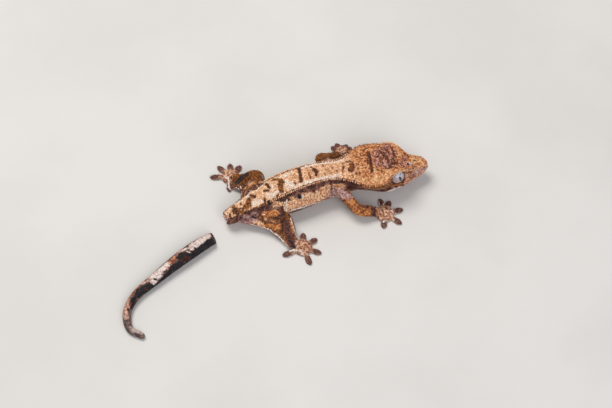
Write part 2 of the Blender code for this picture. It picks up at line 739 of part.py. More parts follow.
def material(name, colour, roughness):
    made = bpy.data.materials.new(name)
    made.use_nodes = True
    shader = made.node_tree.nodes["Principled BSDF"]
    shader.inputs["Base Color"].default_value = (*colour, 1)
    shader.inputs["Roughness"].default_value = roughness
    shader.inputs["Metallic"].default_value = 0
    return made


def finish(nodes):
    """Materials, and every node moved to the model's own origin and brought to metres."""
    tan = material("orange_tan_skin", (0.50, 0.24, 0.10), 0.6)
    cream = material("cream_back_skin", (0.72, 0.45, 0.26), 0.6)
    brown = material("brown_limb_skin", (0.28, 0.13, 0.06), 0.6)
    black = material("dark_tail_skin", (0.35, 0.22, 0.15), 0.55)
    iris = material("silver_iris", (0.45, 0.45, 0.50), 0.15)
    for name, obj in nodes.items():
        if name.startswith("eye"):
            own = iris
        elif name.startswith("dropped"):
            own = black
        elif name == "head":
            own = tan
        elif name in ("neck", "torso", "tail_stump"):
            own = cream
        else:
            own = brown
        obj.data.materials.append(own)
        move = Matrix.Translation((-BOX_CENTRE[0], -BOX_CENTRE[1], 0))
        obj.data.transform(Matrix.Scale(METRES, 4) @ move)
        obj.data.shade_smooth()


def main():
    body = whole_body()
    skin = surface_of(body)
    carve_head(body, skin)
    nodes = part_body(body)
    nodes |= dropped_tail()
    for side, word in ((LEFT, "left"), (RIGHT, "right")):
        nodes[f"eye_{word}"] = eye_cap(f"eye_{word}", side, EYE_RADIUS, EYE_SEAT)
    grow_spines(nodes, skin)
    finish(nodes)


main()
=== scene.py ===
# %% [markdown]
# # A young crested gecko that has just dropped its tail
# The real animal is soft skin over muscle, covered all over in tiny round scales. A museum model
# of it could be one sculpted skin with painted marks. Here the skin is built whole from a few
# cross-sections, so that no seam shows between the solids that it stands for, and the scales,
# spines, lips, eyes and claws are real small shapes that sit on it.
# %% Load the fixed model
import math

import bmesh
import bpy
import numpy as np
from mathutils import Matrix, Vector
from mathutils.bvhtree import BVHTree
from mathutils.kdtree import KDTree


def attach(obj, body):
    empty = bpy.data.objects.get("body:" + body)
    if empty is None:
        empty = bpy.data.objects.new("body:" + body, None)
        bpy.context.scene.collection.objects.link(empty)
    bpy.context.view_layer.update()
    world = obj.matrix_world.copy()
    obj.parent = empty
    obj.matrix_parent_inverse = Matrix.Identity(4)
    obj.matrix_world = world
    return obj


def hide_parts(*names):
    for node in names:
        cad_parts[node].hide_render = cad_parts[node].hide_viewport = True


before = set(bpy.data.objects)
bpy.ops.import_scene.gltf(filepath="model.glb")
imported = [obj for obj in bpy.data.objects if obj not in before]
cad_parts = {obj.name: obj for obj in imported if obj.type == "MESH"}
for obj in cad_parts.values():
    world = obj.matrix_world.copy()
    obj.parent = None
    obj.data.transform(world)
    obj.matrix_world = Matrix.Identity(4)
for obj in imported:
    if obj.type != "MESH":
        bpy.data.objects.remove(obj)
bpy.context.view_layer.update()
print("solids in the fixed model:", len(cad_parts))

# %% [markdown]
# ## The camera
# The photograph looks down on the animal from its right side. Shapes below are written in
# millimetres from the spot on the floor at the middle of the picture, and settle() moves each
# finished mesh from there to the model's own frame in metres.
# %% The camera, and the way from a spot in the photograph to a spot on the skin
MM = 0.001
PICTURE_SPOT = Vector((8.53, 12.89, 0))  # mm, in the model's frame
PHOTO_WIDTH, PHOTO_HEIGHT = 612, 408
LENS, SENSOR = 88.24, 36.0
CAMERA_DOWN = math.radians(57)
CAMERA_REACH = 490.5


def linked(name, data):
    """A new object in the scene."""
    obj = bpy.data.objects.new(name, data)
    bpy.context.scene.collection.objects.link(obj)
    return obj


eye_point = Vector((0, -math.cos(CAMERA_DOWN), math.sin(CAMERA_DOWN))) * CAMERA_REACH
camera_data = bpy.data.cameras.new("photo_camera")
camera_data.lens, camera_data.sensor_width = LENS, SENSOR
camera_data.clip_start = 0.02
camera = linked("photo_camera", camera_data)
camera.location = (eye_point + PICTURE_SPOT) * MM
camera.rotation_euler = (math.pi / 2 - CAMERA_DOWN, 0, 0)
bpy.context.scene.camera = camera


def photo_ray(px, py):
    """The way that the camera looks through a pixel of the photograph."""
    deep = LENS / SENSOR * PHOTO_WIDTH
    ahead = -eye_point.normalized()
    right = Vector((1, 0, 0))
    up = right.cross(ahead)
    across, down = px - PHOTO_WIDTH / 2, py - PHOTO_HEIGHT / 2
    return (ahead * deep + right * across - up * down).normalized()


def settle(obj):
    """Moves a finished mesh from the picture's spot, in millimetres, to the model's frame."""
    obj.data.transform(Matrix.Scale(MM, 4) @ Matrix.Translation(PICTURE_SPOT))
    return obj


print("camera", tuple(round(v, 4) for v in camera.location))

# %% [markdown]
# ## The lines plan
# A boat builder draws a hull as cross-sections along a line, and an animal's trunk can be drawn
# the same way. Each row gives how far back from the snout it is, and then the section's heights
# and half widths. The limbs are tapered tubes, and the folds of skin behind the hind legs are
# chains of thin rounded plates. A smooth curve through the rows fills in the rest.
# %% The trunk's line and sections
LEFT, RIGHT = 1, -1
BODY_LINE = (  # back from the snout, x, y
    (0.0, 39.9, 12.3),
    (10.0, 30.1, 10.3),
    (20.0, 20.3, 8.4),
    (29.0, 11.5, 6.5),
    (37.0, 3.9, 4.9),
    (45.0, -3.6, 2.3),
    (53.0, -10.9, -0.8),
    (61.0, -18.2, -4.1),
    (70.0, -26.1, -8.0),
)
SECTIONS = (  # back, top, crest's half width and height, side's, low corner's, belly
    (0.2, 6.6, 0.7, 6.3, 1.1, 5.6, 0.8, 4.9, 4.7),
    (1.2, 7.4, 1.4, 7.1, 2.2, 5.6, 1.6, 4.1, 3.7),
    (3.0, 8.1, 2.1, 7.8, 3.2, 5.4, 2.5, 3.5, 3.0),
    (5.5, 8.9, 2.6, 8.6, 4.1, 5.2, 3.3, 3.0, 2.5),
    (8.0, 9.6, 4.0, 10.3, 4.7, 5.3, 4.7, 2.8, 2.2),
    (11.0, 10.2, 5.3, 11.9, 5.3, 5.3, 5.7, 2.7, 2.0),
    (13.0, 10.6, 6.1, 11.6, 6.1, 5.4, 6.1, 2.7, 1.9),
    (15.5, 10.9, 7.3, 10.1, 7.0, 5.6, 6.1, 2.7, 1.9),
    (17.5, 11.0, 7.9, 9.8, 7.2, 5.8, 5.8, 2.8, 1.9),
    (20.0, 11.0, 8.0, 9.9, 6.8, 5.9, 5.0, 3.0, 2.1),
    (23.0, 11.1, 7.1, 10.1, 5.7, 6.1, 4.3, 3.1, 2.2),
    (26.0, 11.2, 5.0, 10.3, 5.2, 6.2, 3.9, 3.0, 2.1),
    (29.5, 11.5, 3.5, 10.6, 5.6, 6.2, 4.0, 2.6, 1.7),
    (33.0, 11.9, 3.1, 11.1, 6.2, 6.1, 4.4, 2.2, 1.4),
    (37.0, 12.1, 3.2, 11.3, 6.7, 5.9, 4.8, 2.0, 1.1),
    (42.0, 12.1, 3.4, 11.2, 7.3, 5.6, 5.2, 1.8, 0.9),
    (48.0, 11.6, 3.5, 10.7, 7.5, 5.3, 5.3, 1.7, 0.8),
    (53.0, 10.8, 3.5, 9.9, 6.9, 5.0, 4.8, 1.8, 0.9),
    (57.0, 9.7, 3.3, 8.9, 5.8, 4.8, 3.9, 1.9, 1.0),
    (61.0, 8.4, 2.7, 7.7, 4.4, 4.5, 3.0, 1.9, 1.2),
    (65.0, 7.2, 2.2, 6.5, 3.2, 4.1, 2.2, 1.9, 1.3),
    (69.0, 6.1, 1.6, 5.4, 2.4, 3.7, 1.7, 1.9, 1.4),
    (70.4, 5.6, 1.3, 5.0, 2.0, 3.5, 1.4, 2.0, 1.5),
)


def smooth_rows(rows, at):
    """Each column of rows after the first, read at a place along the first, on a smooth curve."""
    table = np.array(rows, float)
    places, values = table[:, 0], table[:, 1:]
    slopes = np.gradient(values, places, axis=0)
    at = float(np.clip(at, places[0], places[-1]))
    i = min(int(np.searchsorted(places, at, side="right")) - 1, len(places) - 2)
    span = places[i + 1] - places[i]
    t = (at - places[i]) / span
    return (
        (2 * t**3 - 3 * t**2 + 1) * values[i]
        + (t**3 - 2 * t**2 + t) * span * slopes[i]
        + (-2 * t**3 + 3 * t**2) * values[i + 1]
        + (t**3 - t**2) * span * slopes[i + 1]
    )


def along(points, steps):
    """Rows of points, smoothed into steps rows for each span between two of them."""
    rows = [(i, *point) for i, point in enumerate(points)]
    return [smooth_rows(rows, i / steps) for i in range((len(points) - 1) * steps + 1)]


def body_frame(back):
    """The place on the body's line this far back from the snout, the way forward, and left."""
    step = 0.5
    here = smooth_rows(BODY_LINE, back)
    ahead = smooth_rows(BODY_LINE, max(back - step, BODY_LINE[0][0]))
    behind = smooth_rows(BODY_LINE, min(back + step, BODY_LINE[-1][0]))
    forward = Vector((*(ahead - behind), 0)).normalized()
    return Vector((*here, 0)), forward, Vector((-forward.y, forward.x, 0))


def on_body(back, out, height, side=LEFT):
    """A point this far back from the snout, out from the middle on one side, and up."""
    middle, _, left = body_frame(back)
    return middle + left * (out * side) + Vector((0, 0, height))


def crest_point(back, side):
    row = smooth_rows(SECTIONS, back)
    return on_body(back, row[1], row[2], side)


def section_ring(back, samples=10):
    """One closed cross-section, through its top, crest, side, low corner and belly."""
    top, crest, crest_z, wide, wide_z, low, low_z, bottom = smooth_rows(SECTIONS, back)
    half = [(crest, crest_z), (wide, wide_z), (low, low_z)]
    points = np.array([(0, top), *half, (0, bottom), *[(-x, z) for x, z in reversed(half)]])
    ring = []
    for i in range(len(points)):
        a, b, c, d = (points[(i + k) % len(points)] for k in (-1, 0, 1, 2))
        for t in np.arange(samples) / samples:
            square, cube = 2 * a - 5 * b + 4 * c - d, 3 * b - a - 3 * c + d
            ring.append(on_body(back, *((2 * b + (c - a) * t + square * t**2 + cube * t**3) / 2)))
    return ring


print("crest half width at the neck:", round(float(smooth_rows(SECTIONS, 26)[1]), 2), "mm")

# %% The limbs, the folds of skin, the feet and the dropped tail
FORE_RIGHT = (  # from inside the body outwards: x, y, height, half width, half height
    (9.0, 4.2, 6.4, 2.5, 2.4),
    (11.6, 0.7, 6.2, 2.2, 2.2),
    (14.1, -2.2, 5.2, 1.85, 1.8),
    (16.0, -4.2, 4.2, 1.8, 1.8),
    (18.1, -4.6, 3.3, 2.05, 1.7),
    (20.4, -4.3, 2.5, 2.0, 1.5),
    (22.6, -4.1, 1.8, 1.9, 1.2),
)
FORE_LEFT = (
    (9.0, 8.6, 6.4, 2.5, 2.4),
    (7.6, 11.2, 6.2, 2.2, 2.2),
    (6.0, 13.3, 5.2, 2.0, 1.9),
    (5.0, 15.0, 4.2, 2.0, 1.9),
    (7.0, 15.7, 3.3, 2.05, 1.7),
    (9.0, 16.7, 2.5, 2.0, 1.5),
    (10.8, 18.2, 1.8, 1.9, 1.2),
)
HIND_RIGHT = (
    (-16.5, -4.2, 5.0, 2.9, 2.6),
    (-13.0, -6.3, 4.9, 3.0, 2.7),
    (-9.4, -7.4, 4.8, 2.7, 2.4),
    (-6.9, -8.2, 4.6, 2.0, 2.1),
    (-5.7, -10.3, 3.9, 1.9, 1.9),
    (-5.1, -12.8, 3.0, 1.9, 1.7),
    (-4.3, -15.0, 2.1, 1.6, 1.3),
    (-3.2, -16.6, 1.4, 1.5, 1.0),
)
HIND_LEFT = (
    (-17.6, -2.2, 5.0, 2.9, 2.6),
    (-16.8, 1.8, 4.9, 3.0, 2.7),
    (-16.0, 5.0, 4.8, 2.7, 2.4),
    (-15.7, 7.5, 4.6, 2.0, 2.1),
    (-17.4, 8.5, 3.9, 1.85, 1.9),
    (-19.6, 8.3, 3.0, 1.7, 1.6),
    (-21.8, 8.7, 2.1, 1.5, 1.25),
    (-23.4, 9.5, 1.4, 1.5, 1.0),
)
LIMBS = (FORE_RIGHT, FORE_LEFT, HIND_RIGHT, HIND_LEFT)
WEB_RIGHT = (  # the fold's inner edge, then its free edge
    ((-19.0, -6.4, 4.2), (-13.0, -7.4, 4.6), (-7.2, -9.4, 4.2), (-5.2, -14.0, 2.6), (-4.4, -16.0, 1.8)),
    ((-20.4, -8.7, 3.0), (-15.6, -9.7, 2.9), (-11.6, -11.1, 2.6), (-8.0, -14.0, 2.0), (-5.2, -16.9, 1.5)),
)
WEB_LEFT = (
    ((-18.4, -2.0, 4.2), (-17.0, 2.4, 4.6), (-17.2, 6.5, 4.0), (-20.4, 8.0, 2.8), (-23.0, 8.6, 1.7)),
    ((-20.8, -1.6, 3.0), (-20.6, 1.8, 2.7), (-20.6, 4.2, 2.2), (-22.0, 5.3, 1.7), (-23.8, 6.0, 1.3)),
)
WEB_THICK = 0.62
FEET = (  # the middle of the palm, then the tip of each toe, on the floor
    ((25.6, -4.2), ((24.3, 1.3), (27.3, 0.6), (31.3, -2.4), (30.7, -7.7), (25.1, -9.3))),
    ((12.2, 20.2), ((8.6, 22.3), (10.1, 23.6), (13.6, 23.2), (15.0, 22.1), (15.2, 18.7))),
    ((-1.0, -17.0), ((-0.9, -11.8), (3.3, -13.8), (4.6, -19.0), (1.3, -23.0), (-7.2, -19.9))),
    ((-24.9, 10.4), ((-21.8, 14.6), (-25.2, 15.3), (-29.1, 14.3), (-31.4, 10.2), (-25.2, 4.9))),
)
PALM, PALM_HEIGHT = (2.3, 2.3, 1.2), 0.85
TOE_WEB, TOE_WEB_HEIGHT = (3.0, 3.0, 0.6), 0.48
TOE = (  # share of the way out, half width, half height, height of its middle
    (0.00, 0.85, 0.75, 0.95),
    (0.35, 0.68, 0.62, 1.00),
    (0.58, 0.82, 0.55, 0.62),
    (0.76, 1.08, 0.50, 0.42),
    (0.90, 1.00, 0.44, 0.40),
    (0.98, 0.72, 0.36, 0.42),
    (1.00, 0.62, 0.34, 0.44),
)
TAIL_LINE = (  # x, y, half width
    (-29.4, -14.0, 1.95),
    (-32.7, -16.2, 2.25),
    (-37.85, -20.35, 2.40),
    (-42.75, -24.65, 2.20),
    (-47.85, -29.55, 1.88),
    (-52.3, -33.9, 1.68),
    (-55.0, -38.3, 1.44),
    (-55.7, -42.6, 1.34),
    (-54.4, -46.9, 1.16),
    (-50.6, -49.1, 1.00),
)
TAIL_FLATTENING, TAIL_SUNK = 0.92, 0.12
EYE_BACK, EYE_OUT, EYE_HEIGHT = 11.5, 3.6, 7.4
EYE_RADIUS, EYE_OPENING, EYE_RIM = 2.75, 2.42, 0.4
EYE_UP, EYE_FORWARD = math.radians(30), math.radians(5)
ORBIT_RADIUS, ORBIT_DEPTH = 3.35, 2.05
CREST_START, CREST_END, CREST_RIDGE = 7.6, 60.0, 0.34


def eye_frame(side):
    """The middle of an eye, and the way that it looks."""
    _, forward, left = body_frame(EYE_BACK)
    flat = left * (side * math.cos(EYE_FORWARD)) + forward * math.sin(EYE_FORWARD)
    look = flat * math.cos(EYE_UP) + Vector((0, 0, math.sin(EYE_UP)))
    return on_body(EYE_BACK, EYE_OUT, EYE_HEIGHT, side), look


print("toes:", sum(len(tips) for _, tips in FEET))

# %% [markdown]
# ## One skin without seams
# All the forms are laid into one mesh while they still overlap. A voxel remesh, like dipping
# them in plaster, turns that heap into a single even surface, and smoothing at the roots of the
# limbs gives the soft hollows of an armpit and a groin.
# %% Helpers that add closed forms to one heap
def add_rings(heap, rings):
    """A closed skin over rings of points, with a fan over each end."""
    loops = [[heap.verts.new(point) for point in ring] for ring in rings]
    for a, b in zip(loops, loops[1:]):
        for k in range(len(a)):
            n = (k + 1) % len(a)
            heap.faces.new((a[k], a[n], b[n], b[k]))
    for loop in (loops[0], loops[-1]):
        hub = heap.verts.new(sum((v.co for v in loop), Vector()) / len(loop))
        for k in range(len(loop)):
            heap.faces.new((loop[k], loop[(k + 1) % len(loop)], hub))


def add_tube(heap, rows, sides=24):
    """A tube along rows of x, y, z, half width, half height, with both ends rounded off."""
    ends = []
    for row, inner in ((rows[0], rows[1]), (rows[-1], rows[-2])):
        out = (Vector(row[:3]) - Vector(inner[:3])).normalized()
        cap = []
        for angle in (math.radians(35), math.radians(68)):
            place = Vector(row[:3]) + out * (min(row[3], row[4]) * math.sin(angle))
            cap.append((*place, row[3] * math.cos(angle), row[4] * math.cos(angle)))
        ends.append(cap)
    rows = [*reversed(ends[0]), *rows, *ends[1]]
    centres = [Vector(row[:3]) for row in rows]
    rings = []
    for i, row in enumerate(rows):
        ahead = centres[min(i + 1, len(rows) - 1)] - centres[max(i - 1, 0)]
        across = ahead.cross(Vector((0, 0, 1))).normalized()
        up = across.cross(ahead).normalized()
        turns = [2 * math.pi * k / sides for k in range(sides)]
        rings.append([
            centres[i] + across * (row[3] * math.cos(a)) + up * (row[4] * math.sin(a)) for a in turns
        ])
    add_rings(heap, rings)


def add_ball(heap, centre, radii, turn=None):
    """An ellipsoid, turned about its own centre."""
    turn = (turn or Matrix.Identity(3)).to_4x4()
    place = Matrix.Translation(centre) @ turn @ Matrix.Diagonal((*radii, 1))
    bmesh.ops.create_icosphere(heap, subdivisions=4, radius=1, matrix=place)


def add_web(heap, inner, outer):
    """A thin fold of skin between two edges, as a chain of flat hulls with rounded rims."""
    for i in range(len(inner) - 1):
        link = bmesh.new()
        for corner in (inner[i], inner[i + 1], outer[i], outer[i + 1]):
            place = Matrix.Translation(corner)
            bmesh.ops.create_icosphere(link, subdivisions=3, radius=WEB_THICK, matrix=place)
        hull = bmesh.ops.convex_hull(link, input=link.verts)
        inner_parts = hull["geom_interior"] + hull["geom_unused"]
        spare = {part for part in inner_parts if isinstance(part, bmesh.types.BMVert)}
        bmesh.ops.delete(link, geom=list(spare), context="VERTS")
        rough = bpy.data.meshes.new("link")
        link.to_mesh(rough)
        link.free()
        heap.from_mesh(rough)
        bpy.data.meshes.remove(rough)


def add_foot(heap, palm, tips):
    add_ball(heap, Vector((*palm, PALM_HEIGHT)), PALM)
    add_ball(heap, Vector((*palm, TOE_WEB_HEIGHT)), TOE_WEB)
    for tip in tips:
        rows = []
        for i in range(13):
            half_width, half_height, height = smooth_rows(TOE, i / 12)
            flat = Vector(palm).lerp(Vector(tip), i / 12)
            rows.append((*flat, height, half_width, half_height))
        add_tube(heap, rows, 18)


def add_eye_socket(heap, side):
    """The bulge that carries an eye, and the raised ring round its opening."""
    centre, look = eye_frame(side)
    turn = look.to_track_quat("Z", "Y").to_matrix()
    add_ball(heap, centre, (ORBIT_RADIUS, ORBIT_RADIUS, ORBIT_DEPTH), turn)
    rise = math.sqrt(EYE_RADIUS**2 - EYE_OPENING**2) - 0.05
    ring_radius = EYE_OPENING + EYE_RIM
    loops = []
    for a in np.linspace(0, 2 * math.pi, 48, endpoint=False):
        spoke = turn @ Vector((math.cos(a), math.sin(a), 0))
        hub = centre + look * rise + spoke * ring_radius
        turns = np.linspace(0, 2 * math.pi, 12, endpoint=False)
        loops.append([
            heap.verts.new(hub + (spoke * math.cos(b) + look * math.sin(b)) * EYE_RIM) for b in turns
        ])
    for a, b in zip(loops, [*loops[1:], loops[0]]):
        for k in range(12):
            heap.faces.new((a[k], a[(k + 1) % 12], b[(k + 1) % 12], b[k]))


def add_crest_ridge(heap, side):
    """The low ridge under the crest's spines, from the brow to the hip."""
    count = 100
    rows = []
    for i in range(count + 1):
        back = CREST_START + (CREST_END - CREST_START) * i / count
        half = CREST_RIDGE * min(1, 0.5 + 4 * min(i, count - i) / count)
        rows.append((*(crest_point(back, side) + Vector((0, 0, 0.05))), half, half))
    add_tube(heap, rows, 12)


# %% Cast the heap into one skin
VOXEL = 0.15  # mm, half of the smallest granule
ROOT_REACH = 4.2  # how far from a limb's root the skin is softened
COAT_DEPTH = 0.06  # the skin lies this far inside, and the scales stand up to the true outline


def apply_modifiers(obj):
    graph = bpy.context.evaluated_depsgraph_get()
    mesh = bpy.data.meshes.new_from_object(obj.evaluated_get(graph))
    obj.modifiers.clear()
    obj.data = mesh


def cast(name, heap, voxel, roots=()):
    """A heap of overlapping forms as one even skin, softened near the roots of limbs."""
    bmesh.ops.recalc_face_normals(heap, faces=heap.faces)
    mesh = bpy.data.meshes.new(name)
    heap.to_mesh(mesh)
    heap.free()
    obj = linked(name, mesh)
    remesh = obj.modifiers.new("fuse", "REMESH")
    remesh.mode = "VOXEL"
    remesh.voxel_size = voxel
    apply_modifiers(obj)
    even = obj.modifiers.new("even", "SMOOTH")
    even.factor, even.iterations = 0.5, 6
    if roots:
        places = read(obj.data.vertices, "co")
        near = np.min([np.linalg.norm(places - np.array(root), axis=1) for root in roots], axis=0)
        soft = obj.vertex_groups.new(name="roots")
        for i in np.nonzero(near < ROOT_REACH)[0]:
            soft.add([int(i)], 1 - near[i] / ROOT_REACH, "REPLACE")
        blend = obj.modifiers.new("blend", "SMOOTH")
        blend.factor, blend.iterations, blend.vertex_group = 0.6, 56, "roots"
    apply_modifiers(obj)
    obj.vertex_groups.clear()
    return obj


def read(items, name, width=3):
    """One property of every vertex, loop or face of a mesh, as an array."""
    values = np.empty(len(items) * width, np.float32 if width > 1 else np.int32)
    items.foreach_get(name, values)
    return values.reshape(-1, width) if width > 1 else values


def body_heap():
    heap = bmesh.new()
    first, step = SECTIONS[0][0], 0.5
    add_rings(heap, [section_ring(first + i * step) for i in range(int(69.6 / step) + 1)])
    for limb in LIMBS:
        add_tube(heap, along(limb, 8))
    add_web(heap, *WEB_RIGHT)
    add_web(heap, *WEB_LEFT)
    for palm, tips in FEET:
        add_foot(heap, palm, tips)
    for side in (LEFT, RIGHT):
        add_eye_socket(heap, side)
        add_crest_ridge(heap, side)
    return heap


limb_roots = [Vector(limb[i][:3]) for limb in LIMBS for i in (1, 2)]
skin = cast("skin", body_heap(), VOXEL, limb_roots)
smooth_points = read(skin.data.vertices, "co")
smooth_normals = read(skin.data.vertex_normals, "vector")
print("skin:", len(smooth_points), "points")


def surface_of(obj):
    bm = bmesh.new()
    bm.from_mesh(obj.data)
    tree = BVHTree.FromBMesh(bm)
    bm.free()
    return tree


skin_surface = surface_of(skin)


def spot_on(surface, px, py, height=3.0):
    """Where a pixel of the photograph falls on a surface, or the nearest place to it."""
    way = photo_ray(px, py)
    hit = surface.ray_cast(eye_point, way)[0]
    if hit is None:
        hit = surface.find_nearest(eye_point + way * ((height - eye_point.z) / way.z))[0]
    return hit

# %% [markdown]
# ## Where each point is on the animal
# Folds and marks follow the body, so every point of the skin gets body coordinates: how far back
# from the snout it is, how far out from the middle, and its height. Marks are strokes: a line of
# spots picked in the photograph, laid on the skin, with a half width in millimetres. For each
# point only the distance inside the nearest stroke is kept, and the material later turns that
# into a crisp or ragged edge. The flank that the photograph doesn't show mirrors the one it does.
# %% Body coordinates
LINE_STEP = 0.25  # mm
LINE_STEPS = np.arange(0, 71.01, LINE_STEP)
LINE_FRAMES = [body_frame(back) for back in LINE_STEPS]
LINE_MIDDLES, LINE_FORWARDS, LINE_LEFTS = (np.array([f[k] for f in LINE_FRAMES]) for k in range(3))
LINE_SECTIONS = np.array([smooth_rows(SECTIONS, back) for back in LINE_STEPS])


def place_on_body(points):
    """How far back from the snout each point is, and how far out to the left from the middle."""
    nearest = np.empty(len(points), int)
    for part in np.array_split(np.arange(len(points)), 60):
        gap = points[part, None, :2] - LINE_MIDDLES[None, :, :2]
        nearest[part] = np.argmin((gap**2).sum(2), axis=1)
    gap = points - LINE_MIDDLES[nearest]
    out = np.einsum("ij,ij->i", gap, LINE_LEFTS[nearest])
    back = LINE_STEPS[nearest] - np.einsum("ij,ij->i", gap, LINE_FORWARDS[nearest])
    return back, out


def section_value(back, column):
    """One measure of the section at each place, such as its crest's half width."""
    return np.interp(back, LINE_STEPS, LINE_SECTIONS[:, column])


TOP, CREST, CREST_Z, SIDE, SIDE_Z, LOW, LOW_Z, BELLY = range(8)
back, out = place_on_body(smooth_points)
off_trunk = np.abs(out) - section_value(back, SIDE)
crest_half = section_value(back, CREST)
rise_out = np.clip(np.abs(out) / crest_half, 0, 1) ** 2
roof = section_value(back, TOP) * (1 - rise_out) + section_value(back, CREST_Z) * rise_out
on_top = smooth_points[:, 2] > roof - 0.5
band = np.where(on_top, crest_half - np.abs(out), -2)
print("points between the crests:", int((band > 0).sum()))


FAR_OUTSIDE = -6.0  # mm, for points that no stroke comes near


def inside(points, strokes):
    """How far each point lies inside the nearest of some round-ended strokes, in mm."""
    best = np.full(len(points), FAR_OUTSIDE)
    for half, line in strokes:
        for a, b in zip(line, line[1:] or line):
            a, way = np.array(a), np.array(b) - np.array(a)
            share = np.clip((points - a) @ way / max(way @ way, 1e-9), 0, 1)
            best = np.maximum(best, half - np.linalg.norm(points - a - share[:, None] * way, axis=1))
    return best


# %% [markdown]
# ## Folds, lips, nostrils and ears
# Real skin is creased where it bends and has openings with soft lips. Cutting them with Booleans
# leaves sharp walls, so the skin's points are pushed in or out by a smooth function of their
# distance from a drawn line, as a sculptor does with a wire tool.
# %% Lines that are pressed into the skin
MOUTH_CORNER = 15.0
MOUTH_HEIGHT = 4.75


def mouth_line(side, lift=0.0):
    """Points along the slit of the mouth, from its corner to the tip of the snout."""
    spots = []
    for i in range(16):
        back_here = MOUTH_CORNER * (1 - i / 15) ** 1.25
        low = smooth_rows(SECTIONS, max(back_here, 0.3))
        height = MOUTH_HEIGHT + lift - 0.02 * max(back_here - 7, 0) ** 2
        aim = on_body(max(back_here, 0.1), low[SIDE] + 0.8, height, side)
        aim += body_frame(0)[1] * (0.9 if back_here < 0.6 else 0)
        spots.append(skin_surface.find_nearest(aim)[0])
    return spots


def skin_spots(*pixels):
    return [spot_on(skin_surface, px, py) for px, py in pixels]


def on_skin(back_here, out_here, height, side):
    return skin_surface.find_nearest(on_body(back_here, out_here, height, side))[0]


PRESSED = [  # depth, half width, line
    (0.26, 0.20, mouth_line(RIGHT) + mouth_line(LEFT)[::-1]),
    (0.30, 0.45, skin_spots((251, 217.5), (258, 213.5), (270, 209.5))),
    (0.22, 0.40, skin_spots((331, 193), (337, 197), (341, 201))),
    (0.20, 0.60, skin_spots((345, 190.5), (351, 189), (358, 190))),
]
for side in (LEFT, RIGHT):
    PRESSED.append((0.55, 0.30, [on_skin(1.25, 2.4, 6.9, side)]))
    ear = [on_skin(19.6, 9.0, 7.3, side), on_skin(20.6, 9.0, 5.4, side)]
    PRESSED.append((0.85, 0.55, ear))
    snout = [on_skin(2.2, 1.4, 9, side), on_skin(4.5, 1.6, 10, side), on_skin(7.0, 1.6, 11, side)]
    PRESSED.append((0.22, 0.55, snout))
    PRESSED.append((0.25, 0.7, [on_skin(23.5, 8.0, 5.5, side), on_skin(25.0, 7.0, 3.6, side)]))
RAISED = [  # height, half width, line
    (0.10, 0.32, mouth_line(RIGHT, 0.6) + mouth_line(LEFT, 0.6)[::-1]),
    (0.08, 0.30, mouth_line(RIGHT, -0.6) + mouth_line(LEFT, -0.6)[::-1]),
]
for side in (LEFT, RIGHT):
    RAISED.append((0.14, 0.45, [on_skin(1.5, 2.6, 7.6, side)]))


def relief(points):
    """How far each point of the skin is pushed out, in mm."""
    push = np.full(len(points), -COAT_DEPTH)
    for sign, lines in ((-1, PRESSED), (1, RAISED)):
        for amount, half, line in lines:
            gap = -inside(points, [(0, line)])
            push += sign * amount * np.exp(-((gap / half) ** 2))
    return push


def seen_by_eye(points, side):
    """How far along an eye's look each point is, how far beside it, and the look itself."""
    centre, look = (np.array(v) for v in eye_frame(side))
    depth = (points - centre) @ look
    return depth, np.linalg.norm(points - centre - depth[:, None] * look, axis=1), look


def open_eyes(points):
    """Sinks the skin under each eyeball's opening."""
    for side in (LEFT, RIGHT):
        depth, wide, look = seen_by_eye(points, side)
        seat = math.sqrt(EYE_RADIUS**2 - EYE_OPENING**2) - 0.6
        under = (wide < EYE_OPENING) & (depth > seat)
        points[under] += np.outer(seat - depth[under], look)
    return points


shaped = smooth_points + smooth_normals * relief(smooth_points)[:, None]
shaped = open_eyes(shaped)
shaped[:, 2] = np.maximum(shaped[:, 2], 0)
skin.data.vertices.foreach_set("co", shaped.astype(np.float32).ravel())
skin.data.update()
print("deepest crease:", round(float(relief(smooth_points).min()), 2), "mm")

# %% [markdown]
# ## A flat map of the skin
# A finish that is baked to a picture later needs a flat map in which no two parts overlap. The
# skin is sorted into charts, patches that touch and face the same one of six ways, each chart is
# seen flat from that way, and the charts are packed in rows. Each scale later gets a tiny patch
# of this map at its own root.
# %% Sort the skin into charts and pack them
def charts_of(mesh):
    """A chart number for each face, and the axis that it faces."""
    facing = read(mesh.polygons, "normal")
    axis = np.argmax(np.abs(facing), axis=1)
    way = axis * 2 + (facing[np.arange(len(axis)), axis] > 0)
    edge_of = read(mesh.loops, "edge_index", 1)
    totals = read(mesh.polygons, "loop_total", 1)
    face_of = np.repeat(np.arange(len(totals)), totals)
    order = np.argsort(edge_of, kind="stable")
    pairs = face_of[order][: len(order) // 2 * 2].reshape(-1, 2)
    pairs = pairs[way[pairs[:, 0]] == way[pairs[:, 1]]]
    chart = np.arange(len(way))
    while True:
        low = np.minimum(chart[pairs[:, 0]], chart[pairs[:, 1]])
        joined = chart.copy()
        np.minimum.at(joined, chart[pairs[:, 0]], low)
        np.minimum.at(joined, chart[pairs[:, 1]], low)
        joined = joined[joined]
        if np.array_equal(joined, chart):
            return np.unique(chart, return_inverse=True)[1], axis, face_of
        chart = joined


